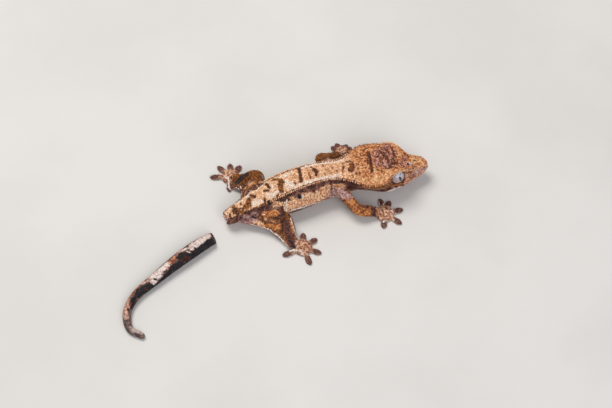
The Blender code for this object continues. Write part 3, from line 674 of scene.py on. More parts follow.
def lay_flat(obj):
    """Gives a mesh its flat map."""
    mesh = obj.data
    chart, axis, face_of = charts_of(mesh)
    corners = read(mesh.vertices, "co")[read(mesh.loops, "vertex_index", 1)]
    own_axis = axis[face_of]
    rows = np.arange(len(corners))
    flat = np.stack([corners[rows, (own_axis + 1) % 3], corners[rows, (own_axis + 2) % 3]], axis=1)
    own_chart = chart[face_of]
    count = own_chart.max() + 1
    low, high = np.full((count, 2), 1e9), np.full((count, 2), -1e9)
    np.minimum.at(low, own_chart, flat)
    np.maximum.at(high, own_chart, flat)
    margin = 0.12
    size = high - low + margin
    width = math.sqrt((size[:, 0] * size[:, 1]).sum()) * 1.12
    place = np.zeros((count, 2))
    x = y = tall = 0.0
    for i in np.argsort(-size[:, 1]):
        if x + size[i, 0] > width:
            x, y, tall = 0.0, y + tall, 0.0
        place[i] = x, y
        x += size[i, 0]
        tall = max(tall, size[i, 1])
    flat += (place - low)[own_chart] + margin / 2
    flat /= max(width, y + tall)
    mesh.uv_layers.new(name="OFBake").data.foreach_set("uv", flat.astype(np.float32).ravel())
    print(obj.name, "has", count, "charts")


def map_at_points(mesh):
    """The flat map's place at each vertex, from any one of its corners."""
    places = np.zeros((len(mesh.vertices), 2), np.float32)
    places[read(mesh.loops, "vertex_index", 1)] = read(mesh.uv_layers["OFBake"].data, "uv", 2)
    return places


lay_flat(skin)

# %% [markdown]
# ## The marks
# The gecko is cream between its crests, plum brown on its flanks and orange tan on its head, with
# dark bars and pale lines over these. Painting an image would tie the marks to one resolution.
# Strokes stay sharp at any size, so each colour gets a list of strokes, with half widths in
# millimetres and spots in the pixels of the photograph.
# %% Strokes of each colour: half width, then x and y of each spot
STROKES = {
    "plum": (
        (1.2, 284.8, 213.6, 286, 224, 287.6, 232), (1.05, 288.6, 233, 290.8, 240, 293, 246),
        (0.9, 373.2, 205.6, 373.4, 211, 373, 216), (0.9, 292.4, 193.6, 286, 195.8, 280, 198.6),
        (0.5, 281, 200.6, 281.2, 209), (0.65, 266.8, 204.6, 267.4, 209.4), (0.5, 250, 209.6, 262, 210),
        (0.26, 252.4, 214, 259, 211.8, 267, 210.4, 275.6, 209.4),
        (0.42, 270.6, 219.6, 276, 217.6, 281, 214.6), (0.55, 316, 191, 314.6, 198),
        (0.4, 360, 205.6, 367.6, 207.2),
        (0.75, 349, 184.4, 354, 185.8, 360, 187.2, 366, 189.4, 371.6, 190.6), (0.7, 353, 188.4, 362, 191),
        # The strokes on the next line paint shade along the far edge of the snout.
        (0.3, 403.4, 151.4, 409, 152.6, 416.6, 155), (0.5, 404.6, 154.4, 408.6, 156.8),
    ),
    "peach": (
        (0.6, 264.6, 217.6, 266, 219.6), (0.55, 272, 220.4, 274.4, 222.4),
        (0.6, 274.6, 210.6, 277, 211.8), (0.45, 269, 213, 270, 214.6),
        (1.6, 290.6, 205.6, 300, 203, 310, 200.6, 318.6, 198.4), (1.2, 304.6, 197, 311, 195.4),
        (1.45, 318.6, 194.6, 326.6, 191.6), (1.05, 322.6, 190, 327.6, 187.4), (0.8, 324.6, 198, 328, 196),
        (0.95, 275, 204.6, 279.6, 204.6), (0.8, 335.6, 186.2, 342, 186.2),
        (0.7, 255.6, 221.6, 262, 224.6), (0.8, 285.2, 203.6, 286.8, 210.6),
        (0.8, 249.6, 184.6, 257.4, 182.6), (0.4, 261.4, 174.6, 261.8, 179.4),
        (0.4, 245.6, 187.6, 251, 187), (0.6, 291.6, 197.6, 295.6, 199.6),
    ),
    "amber": (
        (1.1, 346.6, 197.6, 350.6, 201, 354.6, 205.4), (1, 264, 214.4, 276, 213.2),
        (1.1, 268, 226.6, 278, 226.6), (1.3, 355.6, 211.8, 360, 212.6), (1.25, 366.4, 212, 367.4, 213.6),
        (0.7, 359.6, 215.6, 367, 216), (0.6, 354, 206.8, 361, 209.4), (0.8, 378.6, 213.6, 384, 213.8),
        (0.6, 378, 207.6, 381, 208), (0.5, 386.6, 217.6, 391, 217), (0.45, 291.4, 222.6, 293, 230.4),
        (0.6, 318.2, 155.6, 321.6, 155.4), (0.35, 324.6, 158.8, 328, 158.6),
        (0.3, 240.6, 204.6, 243, 204.8), (0.28, 243.2, 213, 244, 213.4), (0.6, 394, 185.4, 397.6, 184.8),
        (0.35, 411, 159, 416.4, 158.6), (0.35, 399.6, 146.4, 401.6, 149.4),
        (0.3, 396.6, 169.4, 400, 168.4, 403.6, 168.4), (0.45, 335.6, 186.2, 342, 186.2),
    ),
    "blush": (
        (1.3, 331.6, 196.2, 340.6, 193, 348, 195.6), (0.8, 333, 190.6, 341.6, 190.6),
        (0.9, 246, 217.4, 255, 219), (0.8, 241, 222, 250, 222.6), (0.55, 417.4, 171.6, 423.6, 169.6),
        (0.4, 413.6, 174.6, 416.4, 173.6), (0.5, 385.4, 163.6, 386.8, 164.8),
        (0.4, 252.8, 213.6, 256.6, 213.4), (0.34, 248.3, 181.2, 249, 182),
    ),
    "apricot": (
        (0.32, 392.2, 175.6, 395, 171.6, 399, 168.9, 404.2, 168.4),
        (1.3, 375, 178.6, 381.6, 178, 388.6, 175.6), (1, 372.6, 182.6, 378.6, 181.6, 386.6, 180.4),
        (0.8, 388, 170.6, 391.6, 172.6), (0.9, 352, 176.6, 360, 179.6, 368, 182),
        (0.7, 359.6, 166.6, 361, 170.6), (0.6, 375, 169, 375.4, 174),
        (0.6, 392.8, 143.8, 396.6, 148.6, 400.6, 156), (0.9, 418.6, 158.6, 422, 162.6),
        (0.6, 412.6, 157, 415, 162.6), (0.5, 376, 144.2, 386, 143),
    ),
    "rose": (
        (2.6, 379.6, 154, 387.6, 156), (2.1, 386, 164, 392.6, 163.4), (1.7, 386.6, 148.6, 391.6, 154),
        (1.3, 376.4, 152, 377, 163), (1.1, 404.6, 158.6, 403, 165.6), (0.8, 409, 176.6, 413.6, 176),
    ),
    "lobe": (
        # The first stroke runs along the near crest: the crest's pale scales, lightened further by a painted
        # highlight along that edge.
        (0.5, 297.6, 185.4, 305.6, 182.6, 313.6, 180.4, 322, 178.2, 331, 176.4, 340, 175.2),
        (0.4, 301.6, 167.6, 308, 165.8, 316, 164.6, 323.6, 163.4, 333, 162.6, 341.6, 160.6),
        (1, 286.8, 186.6, 291.6, 186.4), (0.8, 287, 181.6, 292, 182.6), (0.5, 293.6, 187, 296.4, 186),
        (0.7, 281.4, 176.6, 286.6, 174.8, 292, 172), (0.95, 268.6, 196.2, 273.6, 194.6),
        (0.5, 276.6, 192.6, 279.6, 191.2), (0.4, 281.6, 192.2, 284, 192.4), (0.4, 266, 193.4, 268, 194.4),
        (1.05, 254.6, 202.4, 259.6, 201.6), (0.5, 254.8, 205.6, 257.6, 205),
        (0.35, 262, 201.6, 264.6, 202.2), (0.5, 258.6, 187.6, 255.6, 190.4, 251.6, 192.6),
        (0.45, 248.4, 195.2, 246.8, 198.2), (0.45, 243, 200.2, 238, 202, 235, 205),
        (0.35, 229, 208.6, 229.6, 210.2), (0.4, 240.6, 213.4, 243.6, 210.8),
        (0.3, 269.4, 182.4, 266.6, 182), (0.4, 262.6, 184.2, 260, 186.6), (0.5, 272, 184.6, 272.6, 190),
    ),
    "gold": (
        (0.85, 280.6, 180.6, 280.6, 186.4, 281.4, 190.8), (0.5, 273, 179.6, 278.6, 179.4),
        (0.7, 248.4, 199.6, 247.6, 204, 246.6, 207), (0.45, 250.6, 199.6, 250, 205.6),
        (0.36, 264.6, 198.8, 265.2, 202.4), (0.34, 261, 205.2, 263.6, 203.8),
        (0.22, 256, 207.8, 260.6, 206.8), (0.3, 245.6, 210.8, 247.6, 210.2),
        (0.65, 351, 164.6, 350.8, 169), (0.24, 306.4, 168, 307.4, 168.8),
        (0.36, 308.8, 172.6, 309.4, 174.6), (0.24, 310.2, 176, 310.6, 178.2),
        (0.3, 323, 164.4, 323.3, 166.4), (0.24, 332.2, 167.6, 332.9, 168.2),
        (0.2, 326.2, 169.3, 328.8, 170.2), (0.2, 329.4, 172.4, 331.4, 173.4),
        (0.3, 342.8, 163.4, 343.6, 163.8), (0.2, 294.6, 176.6, 294.9, 178),
        (0.24, 336.8, 170.4, 337.6, 171.4), (0.24, 324.6, 173.6, 325.4, 174.4),
        (0.5, 277.6, 230.6, 279.4, 235), (0.36, 266.6, 227.6, 271.6, 227.8),
        (0.42, 286.6, 213.8, 288, 218.4), (0.5, 279.6, 236.4, 283.6, 240.8),
        (0.45, 242, 182.4, 242.8, 188.4), (0.45, 233.8, 179.4, 234.6, 183.8),
        (0.34, 381.2, 170.6, 382.2, 171.8), (0.28, 366.2, 175.2, 367, 175.6),
        (0.28, 371.2, 176.2, 371.8, 176.5), (0.42, 408.6, 172.6, 411.2, 173),
        (0.2, 413.4, 160.2, 415.6, 160.4), (0.2, 412.6, 166.4, 415.4, 166.8),
        (0.22, 406.2, 170.6, 406.6, 173.6), (0.95, 372, 188.6, 380, 187.6, 389.6, 186),
        (1, 248.6, 187.6, 255, 188), (0.9, 256, 174.6, 259.6, 179, 260, 181.6),
        (0.6, 319, 158.4, 328, 155.6), (0.6, 233.6, 206.4, 236, 211, 242.6, 212.6),
        (0.5, 244.6, 205.6, 243, 209.6),
    ),
    "dusk": (
        (0.85, 246.4, 174.4, 241, 178, 236.8, 182.6), (0.55, 292.4, 243.6, 294.2, 247),
        (0.6, 283.2, 211.4, 283.8, 221), (0.35, 281.8, 221, 282.2, 231),
        # The stroke from 344.6, 153.8 to 348.6, 152.8 is partly the far hand's dark skin and partly painted
        # shadow beside it.
        (0.4, 344.6, 153.8, 348.6, 152.8),
    ),
    "dark": (
        (0.62, 368.2, 152.2, 369.4, 157.5), (0.52, 370.2, 159.5, 371.2, 166, 372.2, 171.6),
        (0.3, 367, 158, 368, 163.6), (0.22, 374.4, 150.4, 379, 150.6, 383.6, 152.2),
        (0.3, 375.8, 157.6, 378.6, 155.2), (0.34, 381.4, 152.6, 384.2, 156.2, 382.4, 158.6),
        (0.26, 384.2, 153.6, 387.6, 156.8), (0.34, 386.4, 157.2, 388.2, 159.6, 388.7, 162.2),
        (0.6, 392.2, 163.2, 396, 162.6), (0.4, 389.4, 165.6, 392, 164.2),
        (0.3, 388.4, 168.2, 391.8, 166.6, 396.4, 167.6), (0.22, 383.2, 165, 385.2, 167.2, 388, 168.4),
        # The stroke from 404, 153.2 to 408.6, 155.4 is painted shade along the far edge of the snout.
        (0.24, 379.6, 160.8, 380.8, 161.4), (0.2, 404, 153.2, 408.6, 155.4),
        (0.26, 405.6, 159.8, 406.2, 159.9), (0.22, 402.2, 161, 402.5, 163.4),
        (0.16, 403.6, 165.2, 404, 166.4), (0.3, 391.2, 148, 393.4, 151.6),
        (0.26, 393.2, 153.4, 396.2, 157.2), (0.2, 362.8, 150.6, 366.4, 148.2),
        (0.18, 355.8, 156.8, 360, 157.6), (0.18, 355.6, 153.6, 356.4, 154.4),
        (0.24, 365.2, 160.4, 365.5, 161.8), (0.26, 365, 167.4, 365.9, 167.5),
        (0.28, 356.2, 172.8, 356.4, 174.2), (0.24, 359.6, 172.2, 359.7, 173.6),
        (0.2, 412.8, 168.2, 413.6, 168.6), (0.26, 402.4, 182.4, 402.8, 184),
        (0.36, 346.4, 161.6, 347.6, 161.9), (0.26, 349.2, 161, 352.8, 162.4, 354.2, 165),
        (0.44, 353.6, 166.2, 353, 169.6, 351.8, 171.6), (0.24, 350.6, 171.8, 348.8, 170.4, 348.4, 168.2),
        (0.32, 343.2, 166.2, 343.4, 168.6), (0.22, 342.2, 170, 342.4, 171.8),
        (0.6, 298.9, 168.6, 299.9, 173), (0.58, 300.4, 175, 300.9, 181.2),
        (0.3, 310.8, 166.8, 313, 168.2), (0.72, 314.2, 169.6, 316.2, 171.6),
        (0.48, 316.6, 173.6, 316, 175.4), (0.55, 250.6, 195.2, 254.6, 196.6),
        (0.3, 250, 197.6, 252.6, 198), (0.48, 266.4, 183.6, 269.4, 188),
        (0.36, 263.8, 190.8, 268.6, 190.2), (0.42, 280.6, 181.4, 283.4, 182.4),
        (0.28, 282.6, 183.6, 282, 187.4), (0.24, 277.4, 184.2, 279.2, 185.2),
        (0.32, 278.2, 194.2, 276.6, 196.4), (0.4, 264.4, 199.4, 265.2, 204.4),
        (0.42, 236.4, 208.6, 236.8, 211.6), (0.3, 244.4, 211.6, 245.4, 213.6),
        (0.34, 232.6, 209.6, 233.6, 213.6), (0.22, 256.6, 176.6, 260.6, 177.6),
        (0.22, 247, 190.4, 253, 190.6), (0.24, 323, 158, 327, 159.4), (0.22, 378, 163.4, 380.6, 166.4),
        (0.22, 392, 157.6, 394.4, 160.6), (0.26, 386.6, 149.6, 389, 153), (0.2, 376.6, 169, 379, 170.6),
        (0.22, 360.4, 154, 361, 155.6), (0.18, 357, 160, 357.6, 161), (0.18, 362.6, 164.4, 363, 165.6),
        (0.18, 358.4, 168, 359, 169), (0.18, 376, 166, 376.8, 167.2), (0.18, 382, 162, 382.8, 163.6),
        (0.2, 380, 157.6, 381, 159.4), (0.2, 391, 158.6, 391.8, 161.4), (0.22, 384.6, 148.6, 386, 150.4),
        (0.18, 378.4, 146.6, 381.6, 147.6), (0.18, 370.8, 147.6, 374, 147),
        (0.18, 363, 154, 364.6, 155.4), (0.2, 397.6, 160.4, 398.6, 163.4),
        (0.18, 400.4, 163.6, 401.4, 165.6), (0.2, 358, 163.6, 358.6, 164.8),
        (0.2, 361.8, 158.2, 362.4, 159), (0.2, 352.4, 175, 353, 176), (0.24, 280, 190.4, 283.4, 191.6),
        (0.28, 294.6, 182.4, 295.6, 185), (0.26, 240.6, 203.4, 241.2, 205),
        (0.24, 239.2, 208.8, 242.2, 207.8), (0.42, 235.2, 213.2, 238, 213.6),
        (0.34, 229.6, 214.4, 231, 218.4), (0.2, 266, 214.6, 266.8, 215.2), (0.5, 283, 211, 283.6, 219.6),
        (0.24, 308.6, 243.2, 309.4, 243.8), (0.2, 300.4, 248.2, 301.6, 248.4),
        (0.18, 306, 251.6, 308.6, 252.4), (0.18, 303.6, 256, 306.6, 255.6),
        (0.22, 311, 253.6, 313.6, 254.4), (0.32, 231, 176.6, 231.4, 178.8),
        # The stroke from 258.6, 186.6 to 262.6, 183.6 is painted shade between the left thigh and the back.
        (0.28, 254.6, 171, 258.2, 169.6, 261.6, 171.8), (0.3, 258.6, 186.6, 262.6, 183.6),
        (0.24, 235.2, 186, 238.2, 188), (0.2, 360.6, 213.4, 363.2, 211.6, 366, 209.4),
        (0.24, 352.2, 206.6, 355.4, 204.4), (0.2, 357.4, 207.6, 360.4, 208.8),
        (0.2, 377.2, 211.4, 378.4, 212.2), (0.2, 380.2, 214.2, 381, 214.8),
        (0.18, 382.4, 209.6, 382.8, 210.8), (0.18, 386.4, 207.4, 387, 209), (0.3, 336, 152.4, 341, 153),
        (0.34, 331, 157.4, 337, 158.6),
    ),
    "pale": (
        (0.34, 388, 191.2, 393, 189.2, 397.6, 188, 401.4, 186.8),
        (0.22, 250.6, 224.6, 259.6, 227.4, 266.4, 230.2),
        (0.3, 266.4, 230.2, 272.6, 232.4, 277.6, 235.6, 281.6, 239.8, 285.6, 244, 290.6, 251),
        (0.26, 291.4, 250.4, 296.6, 250.2, 300.4, 251.4, 303.4, 255.4),
        (0.22, 289.8, 213.4, 290.6, 219, 292.6, 224.2, 294.2, 229.2, 296.4, 236.8),
        (0.3, 224.4, 177, 228, 178.4, 228.6, 184, 229.2, 188, 231.2, 190.4),
        (0.2, 233.6, 189.4, 239.8, 189.9), (0.2, 240.4, 186.4, 240.6, 194.8),
        (0.36, 302.8, 196, 303.1, 197.9), (0.2, 352.6, 196.6, 358.4, 200.8, 362.6, 202.8, 368.6, 204.6),
        (0.3, 225.6, 213.2, 226.4, 213.6), (0.2, 333.2, 196.6, 333.8, 198.4),
        (0.16, 340.4, 194.4, 343.6, 198.6), (0.18, 250.8, 188.8, 252.4, 187.6, 253.4, 188.8),
        (0.24, 262.8, 176.4, 263.4, 179), (0.2, 264, 214.7, 264.5, 215), (0.24, 379, 201.6, 379.4, 204.6),
        (0.2, 382.6, 204.2, 384.2, 203.4), (0.24, 392.2, 208.8, 392.6, 211),
        (0.2, 391.4, 214, 393, 216.6), (0.26, 383, 221.6, 386.6, 220.6),
        (0.24, 392.4, 221.2, 393.6, 219.6), (0.2, 372.2, 205, 375.2, 205.2),
        (0.26, 289.6, 211, 297.6, 208.8, 305.6, 206.6, 314, 203.8, 328.6, 200),
        (0.22, 286.8, 199.6, 286.6, 205, 286.8, 211), (0.24, 416, 171.2, 417.4, 172.6),
    ),
    "opal": (
        (0.42, 410.6, 163, 411.2, 164.4),
    ),
    "black": (
        (0.55, 299.2, 195.6, 300.2, 197.6), (0.55, 268.8, 201.4, 269.8, 203.2),
        (0.28, 252.6, 217.2, 255.6, 218), (0.32, 408.2, 163.2, 409, 164.8),
        # The stroke at 424.4, 166.2 is painted shade in the nostril.
        (0.26, 424.4, 166.2, 424.8, 166.6), (0.24, 287.8, 240.4, 289.6, 241),
    ),
}

NAPE = 25.0  # the head's tan gives way to the back's cream this far from the snout
MUZZLE = 9.0


def laid(strokes, surface, height):
    """Strokes with their spots laid on a surface, or near this height beside it."""
    return [
        (half, [spot_on(surface, px, py, height) for px, py in zip(flat[::2], flat[1::2])])
        for half, *flat in strokes
    ]


def mirrored_flank(points, back, out):
    """Points with those of the left flank moved to the same place on the right one."""
    far = (out > section_value(back, CREST)) & (np.abs(out) < section_value(back, SIDE) + 0.5)
    nearest = np.clip(np.round(back / LINE_STEP).astype(int), 0, len(LINE_STEPS) - 1)
    moved = points.copy()
    moved[far] -= 2 * out[far, None] * LINE_LEFTS[nearest[far]]
    return moved


seen = mirrored_flank(smooth_points, back, out)
palms = [(2.9, [(*palm, 1.4)]) for palm, _ in FEET]
toes = [(1.2, [(*palm, 0.8), (*tip, 0.5)]) for palm, tips in FEET for tip in tips]
pads = [
    (1.15, [(*Vector(palm).lerp(Vector(tip), 0.74), 0.8), (*Vector(palm).lerp(Vector(tip), 0.95), 0.6)])
    for palm, tips in FEET
    for tip in tips
]
fields = {
    "limb": off_trunk - 0.4,
    "foot": inside(smooth_points, palms + toes),
    "pad": inside(smooth_points, pads),
    "band": band,
    "crown": np.minimum(band * 6, NAPE - back),
    "muzzle": MUZZLE - back,
    "under": -smooth_normals[:, 2] * 2 - 0.9,
}
fields |= {name: inside(seen, laid(strokes, skin_surface, 3.0)) for name, strokes in STROKES.items()}
fields["apricot"] = np.where(back > 10, np.minimum(fields["apricot"], band * 4), fields["apricot"])
far_limbs = [(2.5, [row[:3] for row in HIND_LEFT[1:7]]), (2.4, [row[:3] for row in FORE_LEFT[2:6]])]
far_brown = np.minimum(inside(smooth_points, far_limbs), fields["limb"] + 0.6)
fields["gold"] = np.maximum(fields["gold"], far_brown)


def write_fields(obj, values):
    for name, value in values.items():
        layer = obj.data.attributes.new(name, "FLOAT", "POINT")
        layer.data.foreach_set("value", np.asarray(value, np.float32))


# The skin's low tip value gives it the painted shade of the clefts between the scales.
write_fields(skin, {**fields, "tip": np.full(len(shaped), 0.1), "grain": np.full(len(shaped), 0.5)})
print("strokes:", sum(len(strokes) for strokes in STROKES.values()))

# %% [markdown]
# ## Scales, spines, lashes and claws
# Each scale on the real skin is a low dome, and each crest spine a small cone with a backward
# lean. Thousands of copies could be instances, but a joined mesh survives any export. One mould,
# a stack of small rings closed at both ends, is set at every root with its own size and along
# its own way, and each copy carries its root's marks.
# %% Set copies of one mould on the skin
def set_studs(name, roots, normals, aims, long, wide, tall, values, flat_map, mould, lean=0.0, sides=6):
    """Joined studs: a mould is rows of width and height shares, and lean tips them along aims."""
    count, rings = len(roots), len(mould)
    aims = aims - normals * np.einsum("ij,ij->i", aims, normals)[:, None]
    aims /= np.linalg.norm(aims, axis=1)[:, None]
    across = np.cross(normals, aims)
    turns = 2 * np.pi * np.arange(sides) / sides
    wide_shares = np.array([w for w, _ in mould] + [0.0])
    tall_shares = np.array([h for _, h in mould] + [mould[-1][1] + 0.06])
    level = np.append(np.repeat(np.arange(rings), sides), rings)
    cos = np.append(np.tile(np.cos(turns), rings), 0) * wide_shares[level]
    sin = np.append(np.tile(np.sin(turns), rings), 0) * wide_shares[level]
    rise = tall_shares[level]
    bent = np.maximum(rise, 0) ** 1.5
    points = (
        roots[:, None]
        + aims[:, None] * (cos * long[:, None] + bent * (lean * tall)[:, None])[..., None]
        + across[:, None] * (sin * wide[:, None])[..., None]
        + normals[:, None] * (rise * tall[:, None])[..., None]
    )
    faces = []
    for r in range(rings - 1):
        for k in range(sides):
            a, b = r * sides + k, r * sides + (k + 1) % sides
            faces += [(a, b, b + sides), (a, b + sides, a + sides)]
    top = (rings - 1) * sides
    faces += [(top + k, top + (k + 1) % sides, rings * sides) for k in range(sides)]
    faces += [(0, k + 1, k) for k in range(1, sides - 1)]
    each = rings * sides + 1
    faces = (np.array(faces)[None] + each * np.arange(count)[:, None, None]).reshape(-1, 3)
    mesh = bpy.data.meshes.new(name)
    mesh.vertices.add(count * each)
    mesh.vertices.foreach_set("co", points.reshape(-1).astype(np.float32))
    mesh.loops.add(len(faces) * 3)
    mesh.loops.foreach_set("vertex_index", faces.reshape(-1).astype(np.int32))
    mesh.polygons.add(len(faces))
    mesh.polygons.foreach_set("loop_start", np.arange(0, len(faces) * 3, 3, dtype=np.int32))
    mesh.update(calc_edges=True)
    mesh.shade_smooth()
    obj = linked(name, mesh)
    own = {key: np.repeat(value, each) for key, value in values.items()}
    # The tip share darkens each stud's root and lightens its top in the scaly finishes, as painted shade and
    # light; on lashes it gives the paler keratin of their tips.
    own["tip"] = np.tile(np.clip(rise, 0, 1), count)
    write_fields(obj, own)
    patch = 0.0015
    corner = np.stack([cos, sin], axis=1) * patch
    spots = (flat_map[:, None] + corner[None]).reshape(-1, 2)[faces.reshape(-1)]
    mesh.uv_layers.new(name="OFBake").data.foreach_set("uv", spots.reshape(-1).astype(np.float32))
    print(name, count, "studs,", len(faces), "triangles")
    return obj


def scatter(points, spacing, allowed, seed):
    """The numbers of points picked so that none lies within another's spacing."""
    tree = KDTree(len(points))
    for i, point in enumerate(points):
        tree.insert(point, i)
    tree.balance()
    free = allowed.copy()
    picked = []
    for i in np.random.default_rng(seed).permutation(len(points)):
        if free[i]:
            picked.append(i)
            for _, j, _ in tree.find_range(points[i], spacing[i]):
                free[j] = False
    return np.array(picked)


# %% Granules all over, sorted into pieces by where they sit
GRANULE = 0.42  # mm, about the width of a granule on the back
CROWDING = 0.78  # share of that width between one granule's middle and the next, at least
FRINGE_PITCH, FLANK_PITCH = 1.3, 1.9  # mm between pointed scales on the limbs and the flanks
GRANULE_MOULD = ((0.96, -0.35), (0.98, 0.25), (0.62, 0.85))

skin_map = map_at_points(skin.data)
skin_normals = read(skin.data.vertex_normals, "vector")
foot_share = np.clip(fields["foot"] + 0.6, 0, 1)
head_share = np.clip((16 - back) / 6, 0, 1)
spacing = GRANULE * (1 - 0.22 * foot_share) * (1 + 0.12 * head_share)
in_eye = np.zeros(len(shaped), bool)
for side in (LEFT, RIGHT):
    depth, wide, _ = seen_by_eye(smooth_points, side)
    in_eye |= (wide < EYE_OPENING + 0.22) & (depth > 0)
allowed = (shaped[:, 2] > 0.25) & (skin_normals[:, 2] > -0.55) & ~in_eye
allowed &= relief(smooth_points) > -0.2
picked = scatter(shaped, spacing * CROWDING, allowed, seed=7)
draw = np.random.default_rng(11)


def forward_at(numbers):
    """The body's way forward beside some of the skin's points."""
    return LINE_FORWARDS[np.clip((back[numbers] / LINE_STEP).astype(int), 0, len(LINE_STEPS) - 1)]


def granules(name, chosen):
    size = spacing[chosen] * draw.uniform(0.42, 0.56, len(chosen))
    values = {key: value[chosen] for key, value in fields.items()}
    values["grain"] = draw.uniform(0, 1, len(chosen))
    long = size * draw.uniform(1.0, 1.25, len(chosen))
    tall = size * draw.uniform(0.34, 0.5, len(chosen))
    return set_studs(
        name, shaped[chosen], skin_normals[chosen], forward_at(chosen), long, size, tall, values,
        skin_map[chosen], GRANULE_MOULD,
    )


limb_like = fields["limb"][picked] > 0
granule_sets = {
    "granules_head": picked[~limb_like & (back[picked] < 24)],
    "granules_back": picked[~limb_like & (back[picked] >= 24) & (fields["band"][picked] > -0.3)],
    "granules_flanks": picked[~limb_like & (back[picked] >= 24) & (fields["band"][picked] <= -0.3)],
    "granules_limbs": picked[limb_like],
}
scale_pieces = [granules(name, chosen) for name, chosen in granule_sets.items()]

# %% Rows of larger scales: crest spines, lashes, lips, eyelid beads and fringes
SPINE_PITCH = 0.68  # mm from one crest spine to the next
SPINE_MOULD = ((1.0, -0.45), (0.95, 0.1), (0.66, 0.45), (0.3, 0.8), (0.12, 0.96))
LASH_MOULD = ((1.0, -0.4), (0.9, 0.15), (0.62, 0.5), (0.34, 0.8), (0.14, 0.97))
LIP_MOULD = ((1.0, -0.5), (1.0, 0.35), (0.86, 0.8), (0.5, 1.0))

skin_tree = KDTree(len(shaped))
for number, point in enumerate(shaped):
    skin_tree.insert(point, number)
skin_tree.balance()


def rooted(name, places, ways, aims, long, wide, tall, mould, lean=0.0, sides=8, band=None):
    """Studs at the skin's points nearest to some places, standing along their own ways."""
    numbers = np.array([skin_tree.find(place)[1] for place in places])
    ways = np.array(ways, float)
    ways /= np.linalg.norm(ways, axis=1)[:, None]
    values = {key: value[numbers] for key, value in fields.items()}
    values["grain"] = draw.uniform(0, 1, len(numbers))
    if band is not None:
        values["band"] = np.full(len(numbers), band)
        values["crown"] = np.minimum(NAPE - back[numbers], band * 6)
    long, wide, tall = (np.zeros(len(numbers)) + size for size in (long, wide, tall))
    return set_studs(
        name, shaped[numbers], ways, np.array(aims, float), long, wide, tall, values,
        skin_map[numbers], mould, lean, sides,
    )


def spine_rows(first, last, pitch, up, sweep):
    """Places, ways and backward aims of a row of spines on both crests."""
    places, ways, aims = [], [], []
    for side in (LEFT, RIGHT):
        count = int((last - first) / pitch)
        for i in range(count):
            at = first + (i + draw.uniform(0.35, 0.65)) * (last - first) / count
            _, forward, left = body_frame(at)
            way = left * side + Vector((0, 0, up)) - forward * sweep
            places.append(crest_point(at, side) + way.normalized() * 0.3)
            ways.append(way)
            aims.append(-forward)
    return places, ways, aims


places, ways, aims = spine_rows(14.4, CREST_END - 0.5, SPINE_PITCH, 0.25, 0.2)
size = draw.uniform(0.85, 1.15, len(places))
spines = rooted(
    "crest_spines", places, ways, aims, size * 0.27, size * 0.24, size * 0.72, SPINE_MOULD, 0.25, band=1.6
)

places, ways, aims = spine_rows(7.8, 14.2, 0.42, 0.55, 0.1)
size = draw.uniform(0.75, 1.2, len(places))
lashes = rooted("eyelashes", places, ways, aims, size * 0.2, size * 0.18, size * 1.15, LASH_MOULD, 0.35, 8)


def beads_along(line, pitch):
    """Evenly spaced spots along a line of points, with the way that the line runs at each."""
    line = np.array(line)
    gone = np.append(0, np.cumsum(np.linalg.norm(np.diff(line, axis=0), axis=1)))
    at = np.arange(pitch / 2, gone[-1], pitch)
    spots, ahead, behind = (
        np.stack([np.interp(at + shift, gone, line[:, k]) for k in range(3)], axis=1)
        for shift in (0, 0.05, -0.05)
    )
    return spots, ahead - behind + np.array((0, 1e-4, 0))


lip_spots, lip_runs = [], []
for lift in (0.42, -0.42):
    spots, runs = beads_along(mouth_line(RIGHT, lift) + mouth_line(LEFT, lift)[::-1], 0.74)
    lip_spots.append(spots)
    lip_runs.append(runs)
lip_spots, lip_runs = np.concatenate(lip_spots), np.concatenate(lip_runs)
lip_numbers = np.array([skin_tree.find(spot)[1] for spot in lip_spots])
lips = rooted("lip_scales", lip_spots, skin_normals[lip_numbers], lip_runs, 0.36, 0.25, 0.15, LIP_MOULD)

ring_spots, ring_ways, ring_aims = [], [], []
for side in (LEFT, RIGHT):
    centre, look = eye_frame(side)
    turn = look.to_track_quat("Z", "Y").to_matrix()
    rise = math.sqrt(EYE_RADIUS**2 - EYE_OPENING**2)
    for row, (radius, count) in enumerate(((EYE_OPENING + 0.24, 34), (EYE_OPENING + 0.62, 36))):
        for a in np.linspace(0, 2 * math.pi, count, endpoint=False):
            spoke = turn @ Vector((math.cos(a + row * 0.1), math.sin(a + row * 0.1), 0))
            ring_spots.append(centre + look * (rise + 0.22 - 0.12 * row) + spoke * radius)
            ring_ways.append(look + spoke * (0.1 + 0.7 * row))
            ring_aims.append(look.cross(spoke))
lids = rooted("eyelid_scales", ring_spots, ring_ways, ring_aims, 0.23, 0.19, 0.20, GRANULE_MOULD)

fringe_allowed = allowed & (fields["limb"] > 0.4) & (skin_normals[:, 2] > -0.2) & (fields["pad"] < 0)
fringe = scatter(shaped, np.full(len(shaped), FRINGE_PITCH), fringe_allowed, seed=5)
flank_allowed = allowed & (fields["limb"] < 0) & (band < -0.5) & (back > 24) & (shaped[:, 2] < 9)
flank_bumps = scatter(shaped, np.full(len(shaped), FLANK_PITCH), flank_allowed, seed=6)
bump_roots = np.concatenate([fringe, flank_bumps])
size = draw.uniform(0.75, 1.25, len(bump_roots))
tubercles = rooted(
    "tubercles", shaped[bump_roots], skin_normals[bump_roots], -forward_at(bump_roots),
    size * 0.19, size * 0.17, size * 0.32, SPINE_MOULD, 0.3, 7,
)

